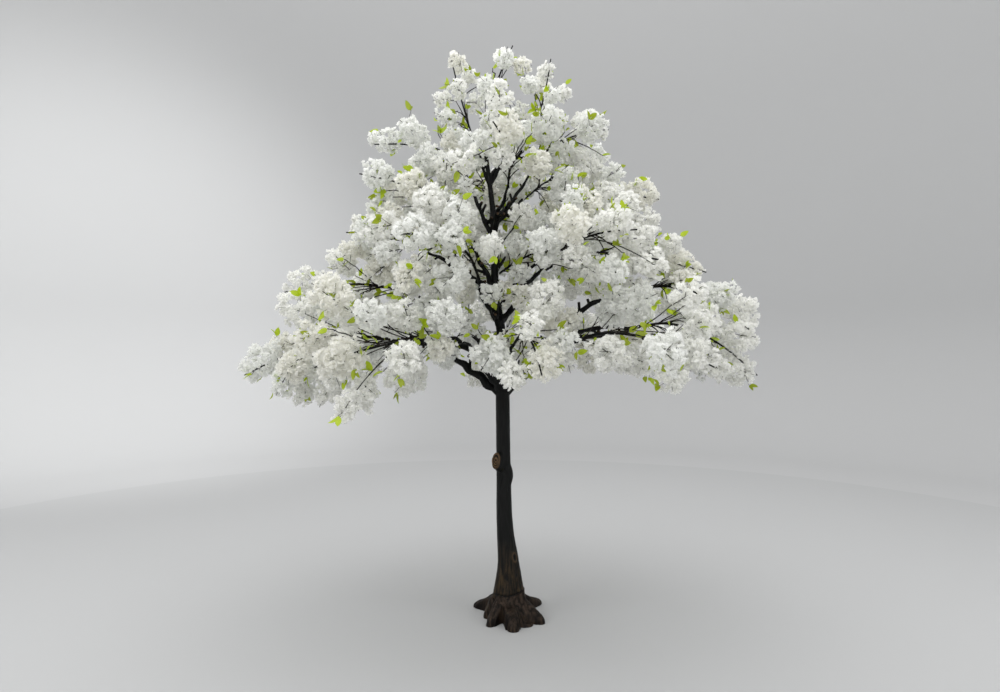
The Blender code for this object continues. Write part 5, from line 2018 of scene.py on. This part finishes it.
# In each bark the hollow colour is painted shade for furrows, creases and seams, and the dark end of the
# grain
TRUNK_BARK = BarkFinish(
    "trunk_bark",
    dark_tone_and_shade=(0.0013, 0.0014, 0.0013),
    ridge=(0.0056, 0.0062, 0.0058),
    brown=(0.0360, 0.0220, 0.0080),
    cut=(0.1150, 0.0680, 0.0340),
    brown_from=(0.42, 0.17),
)
FOOT_BARK = BarkFinish(
    "foot_paint",
    dark_tone_and_shade=(0.0018, 0.0011, 0.0007),
    ridge=(0.0230, 0.0150, 0.0098),
    brown=(0.0450, 0.0300, 0.0205),
    cut=(0.05, 0.03, 0.02),
    fineness=70.0,
    brown_from=(0.30, 0.05),
    brown_most=0.9,
    gloss=0.08,
)
TWIG_BARK = BarkFinish(
    "twig_bark",
    dark_tone_and_shade=(0.0040, 0.0030, 0.0024),
    ridge=(0.0150, 0.0100, 0.0070),
    brown=(0.0240, 0.0150, 0.0090),
    cut=(0.05, 0.03, 0.02),
    fineness=180.0,
    bump=0.2,
)


# Putting it together

# The reach of the finer bunches at the heights of the crown's outline, so that its edge stays loose
FINER_REACHES = (0.95, 1.18, 1.28, 1.23, 1.12, 0.94, 0.80, 0.66, 0.52, 0.38, 0.26, 0.16, 0.08)
# What shows between the finer bunches: the fork, limbs on both sides, and the leader further up
WINDOWS = (
    Window((-0.29, -0.035), (1.12, 1.35)),
    Window((0.08, 0.19), (1.15, 1.33)),
    Window((-0.27, -0.16), (1.36, 1.60)),
    Window((-0.09, 0.04), (1.51, 1.64)),
    Window((-0.13, 0.00), (1.77, 1.85)),
    Window((-0.34, -0.17), (1.76, 1.92)),
    Window((0.12, 0.26), (1.88, 2.05)),
    Window((0.28, 0.50), (1.50, 1.72)),
    Window((-0.17, 0.02), (2.06, 2.22)),
)


@dataclass
class Dresser:
    """Makes each finished piece, hangs it on the frame and reports it."""

    total: int = 0

    def piece(self, name: str, shape: Shape, material: bpy.types.Material, slot: str, *nodes: str) -> None:
        """Adds a piece that rides on the tree and stands for these nodes.

        Args:
            name: The piece's name.
            shape: Its mesh.
            material: Its finish.
            slot: A slot of the record; not used.
            nodes: The nodes that it replaces.
        """
        obj = make_object(name, shape, material)
        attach(obj, BODY)
        if nodes:
            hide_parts(*nodes)
        self.total += shape.triangles()
        log.info("%s: %d triangles", name, shape.triangles())


@dataclass
class Tree:
    """The whole tree: its wood, its blossom, its twigs and its leaves."""

    box: Box
    growth: Growth = field(default_factory=Growth)
    finer: BunchRule = field(default_factory=BunchRule)
    shoots: Floats = field(default_factory=lambda: np.zeros((0, 2, 3)))
    side_twigs: Floats = field(default_factory=lambda: np.zeros((0, 2, 3)))
    finer_share: float = 1.7
    twigs: Twigs = field(default_factory=Twigs)
    dresser: Dresser = field(default_factory=Dresser)

    def build(self) -> None:
        """Grows the tree and dresses every piece."""
        space, crowd = self.growth.grow()
        self.finer = BunchRule(
            size=0.72,
            overlap=0.38,
            set_back=(0.05, 0.18),
            outline=CrownOutline(reaches=FINER_REACHES, leader_views=()),
            windows=WINDOWS,
            box=self.box,
        )
        self.growth.carry_on(space, crowd, self.finer, self.finer_share)
        self.build_wood()
        self.build_crown()
        log.info("the whole tree: %d triangles", self.dresser.total)

    def build_wood(self) -> None:
        """The foot, the trunk with its knot, and the boughs."""
        group = bark_group()
        bark = TRUNK_BARK.material(group)
        trunk = Trunk()
        self.dresser.piece("foot_roots", Foot().shape(), FOOT_BARK.material(group), "foot_bark", "root_foot")
        self.dresser.piece("trunk_skin", trunk.shape(), bark, "bark", "trunk")
        self.dresser.piece("trunk_knot", trunk.knot(), bark, "bark")
        wood = BoughWood()
        for number, bough in enumerate(BOUGHS):
            shape = wood.shape(bough, self.growth.paths[bough.name], number)
            self.dresser.piece("limb_" + bough.name, shape, bark, "bark", "bough_" + bough.name)
        masses = self.growth.masses
        bunches = [bunch for mass in masses for bunch in mass.bunches]
        rng = np.random.default_rng((SEED, 4))
        self.side_twigs = self.twigs.side_paths(bunches, rng)
        self.shoots = self.twigs.shoot_paths(masses, self.finer, rng)
        twig_bark = TWIG_BARK.material(group)
        stems = self.twigs.stems(masses + self.growth.finer_stems)
        self.dresser.piece("stems", stems.bark(), bark, "bark")
        for name, shape in (
            ("twigs", self.twigs.twigs(bunches)),
            ("side_twigs", self.twigs.side_tubes(self.side_twigs)),
            ("bare_shoots", self.twigs.shoot_tubes(self.shoots)),
        ):
            self.dresser.piece(name, shape.bark(), twig_bark, "twig")

    def build_crown(self) -> None:
        """The flowers by level and tone, their stalks, and the leaves."""
        masses = self.growth.masses
        rng = np.random.default_rng((SEED, 5))
        blossom = Blossom()
        places = blossom.grow(masses, rng)
        shares = [white.share for white in WHITES]
        whites = [white.material() for white in WHITES]
        for level in Level:
            chosen = [k for k, mass in enumerate(masses) if Level.of(mass) is level]
            nodes = ["blossom_" + masses[k].name for k in chosen]
            bunches = [spots for k in chosen for spots in places[k]]
            tones = rng.choice(len(WHITES), len(bunches), p=shares)
            for tone, white in enumerate(WHITES):
                spots = [bunches[k] for k in np.flatnonzero(tones == tone)]
                name = f"{white.name}_{level.name.lower()}"
                self.dresser.piece(name, blossom.shapes(spots, rng), whites[tone], "blossom", *nodes)
        flat_places = [spots for mass_places in places for spots in mass_places]
        flat_bunches = [bunch for mass in masses for bunch in mass.bunches]
        stalk = PetalFinish("green_stalks", (0.10, 0.12, 0.03), 1.0, through=0.1)
        stalks = self.twigs.stalks(flat_places, flat_bunches)
        self.dresser.piece("stalks", stalks, stalk.material(), "twig")
        foliage = Foliage()
        spots = foliage.spots(masses, self.shoots, self.side_twigs, rng)
        for green, shape in zip(GREENS, foliage.shapes(spots, len(GREENS), rng)):
            self.dresser.piece(green.name, shape, green.material(), "leaf")


@dataclass
class Studio:
    """A pale round cove, soft lights and the camera of the photograph."""

    floor_reach: float = 8.0
    wall_height: float = 9.5
    bend: float = 2.0
    sides: int = 96
    wall_colour: Triple = (0.440, 0.444, 0.446)
    floor_colour: Triple = (0.410, 0.414, 0.416)
    matte: float = 0.9
    air_strength: float = 1.72
    exposure: float = -0.08
    gamma: float = 1.12
    glow_angle: float = 88.0
    glow_size: float = 0.6
    focal_share: float = 0.692
    sensor: float = 36.0

    def cove(self) -> None:
        """The floor and the wall as one surface: a profile of a level, a quarter circle and a rise."""
        turn = np.linspace(0, math.pi / 2, 14)
        reach = np.concatenate([[0.02, 2.0, 5.0], self.floor_reach - self.bend + self.bend * np.sin(turn)])
        rise = np.concatenate([[0.0, 0.0, 0.0], self.bend - self.bend * np.cos(turn)])
        reach = np.append(reach, self.floor_reach)
        rise = np.append(rise, self.wall_height)
        points = spun(reach[:, None], ring_turns(self.sides), rise[:, None]).reshape(-1, 3)
        inward = ring_quads(len(reach), self.sides)[:, [0, 3, 2, 1]]
        floor, wall = inward[: 2 * self.sides], inward[2 * self.sides :]
        centre = np.arange(self.sides)[None]
        for name, faces, colour in (
            ("studio_floor", [floor, centre], self.floor_colour),
            ("studio_wall", [wall], self.wall_colour),
        ):
            material, _, _ = new_material(name, Base_Color=(*colour, 1.0), Roughness=self.matte)
            make_object(name, Shape(points, faces), material)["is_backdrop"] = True

    def light(self, name: str, stand: Triple, size: float, power: float) -> None:
        """A soft square light that is aimed at the lower crown."""
        data = bpy.data.lights.new(name, "AREA")
        data.shape = "SQUARE"
        data.size = size
        data.energy = power
        self.point(bpy.data.objects.new(name, data), stand, (0.0, 0.0, 1.6))

    def glow(self, stand: Triple, aim: Triple, power: float) -> None:
        """A soft spot on the wall, from a lamp behind the tree that points away from it."""
        data = bpy.data.lights.new("wall_glow", "SPOT")
        data.energy = power
        data.spot_size = math.radians(self.glow_angle)
        data.spot_blend = 1.0
        data.shadow_soft_size = self.glow_size
        self.point(bpy.data.objects.new("wall_glow", data), stand, aim)

    def point(self, lamp: bpy.types.Object, stand: Triple, aim: Triple) -> None:
        """Stands a lamp in the scene, out of the camera's sight, and turns it to its aim."""
        lamp.location = stand
        direction = unit(np.subtract(aim, stand))
        turn, up = math.atan2(direction[1], direction[0]), math.asin(direction[2])
        lamp.rotation_euler = (math.pi / 2 + up, 0.0, turn - math.pi / 2)
        lamp.visible_camera = False
        bpy.context.scene.collection.objects.link(lamp)

    def build(self) -> None:
        """The cove, the lights, the world's even light and the camera."""
        self.cove()
        self.light("key_light", (-5.0, -3.4, 3.6), 4.0, 140.0)
        self.light("fill_light", (5.0, -3.4, 3.4), 4.0, 92.0)
        self.light("front_light", (-0.4, -5.4, 3.2), 3.8, 84.0)
        self.light("top_light", (0.0, 0.6, 6.2), 4.2, 85.0)
        self.glow((-1.5, 1.2, 4.6), (-5.4, 5.6, 2.0), 1100.0)
        world = bpy.data.worlds.new("studio_air")
        world.use_nodes = True
        air = {"Color": (1.0, 1.0, 1.0, 1.0), "Strength": self.air_strength}
        fill(world.node_tree, world.node_tree.nodes["Background"], air)
        scene = bpy.context.scene
        scene.world = world
        scene.view_settings.view_transform = "Standard"
        scene.view_settings.exposure = self.exposure
        scene.view_settings.gamma = self.gamma
        data = bpy.data.cameras.new("camera")
        data.sensor_width = self.sensor
        data.lens = data.sensor_width * self.focal_share
        camera = bpy.data.objects.new("camera", data)
        camera.location = EYE
        camera.rotation_euler = (math.pi / 2, 0.0, 0.0)
        scene.collection.objects.link(camera)
        scene.camera = camera


def main() -> None:
    """Loads the frame, builds the tree around it and sets the studio."""
    logging.basicConfig(level=logging.INFO, format="%(message)s")
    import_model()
    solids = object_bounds()
    Tree(box=tuple(tuple(corner) for corner in solids)).build()
    Studio().build()


if __name__ == "__main__":
    main()
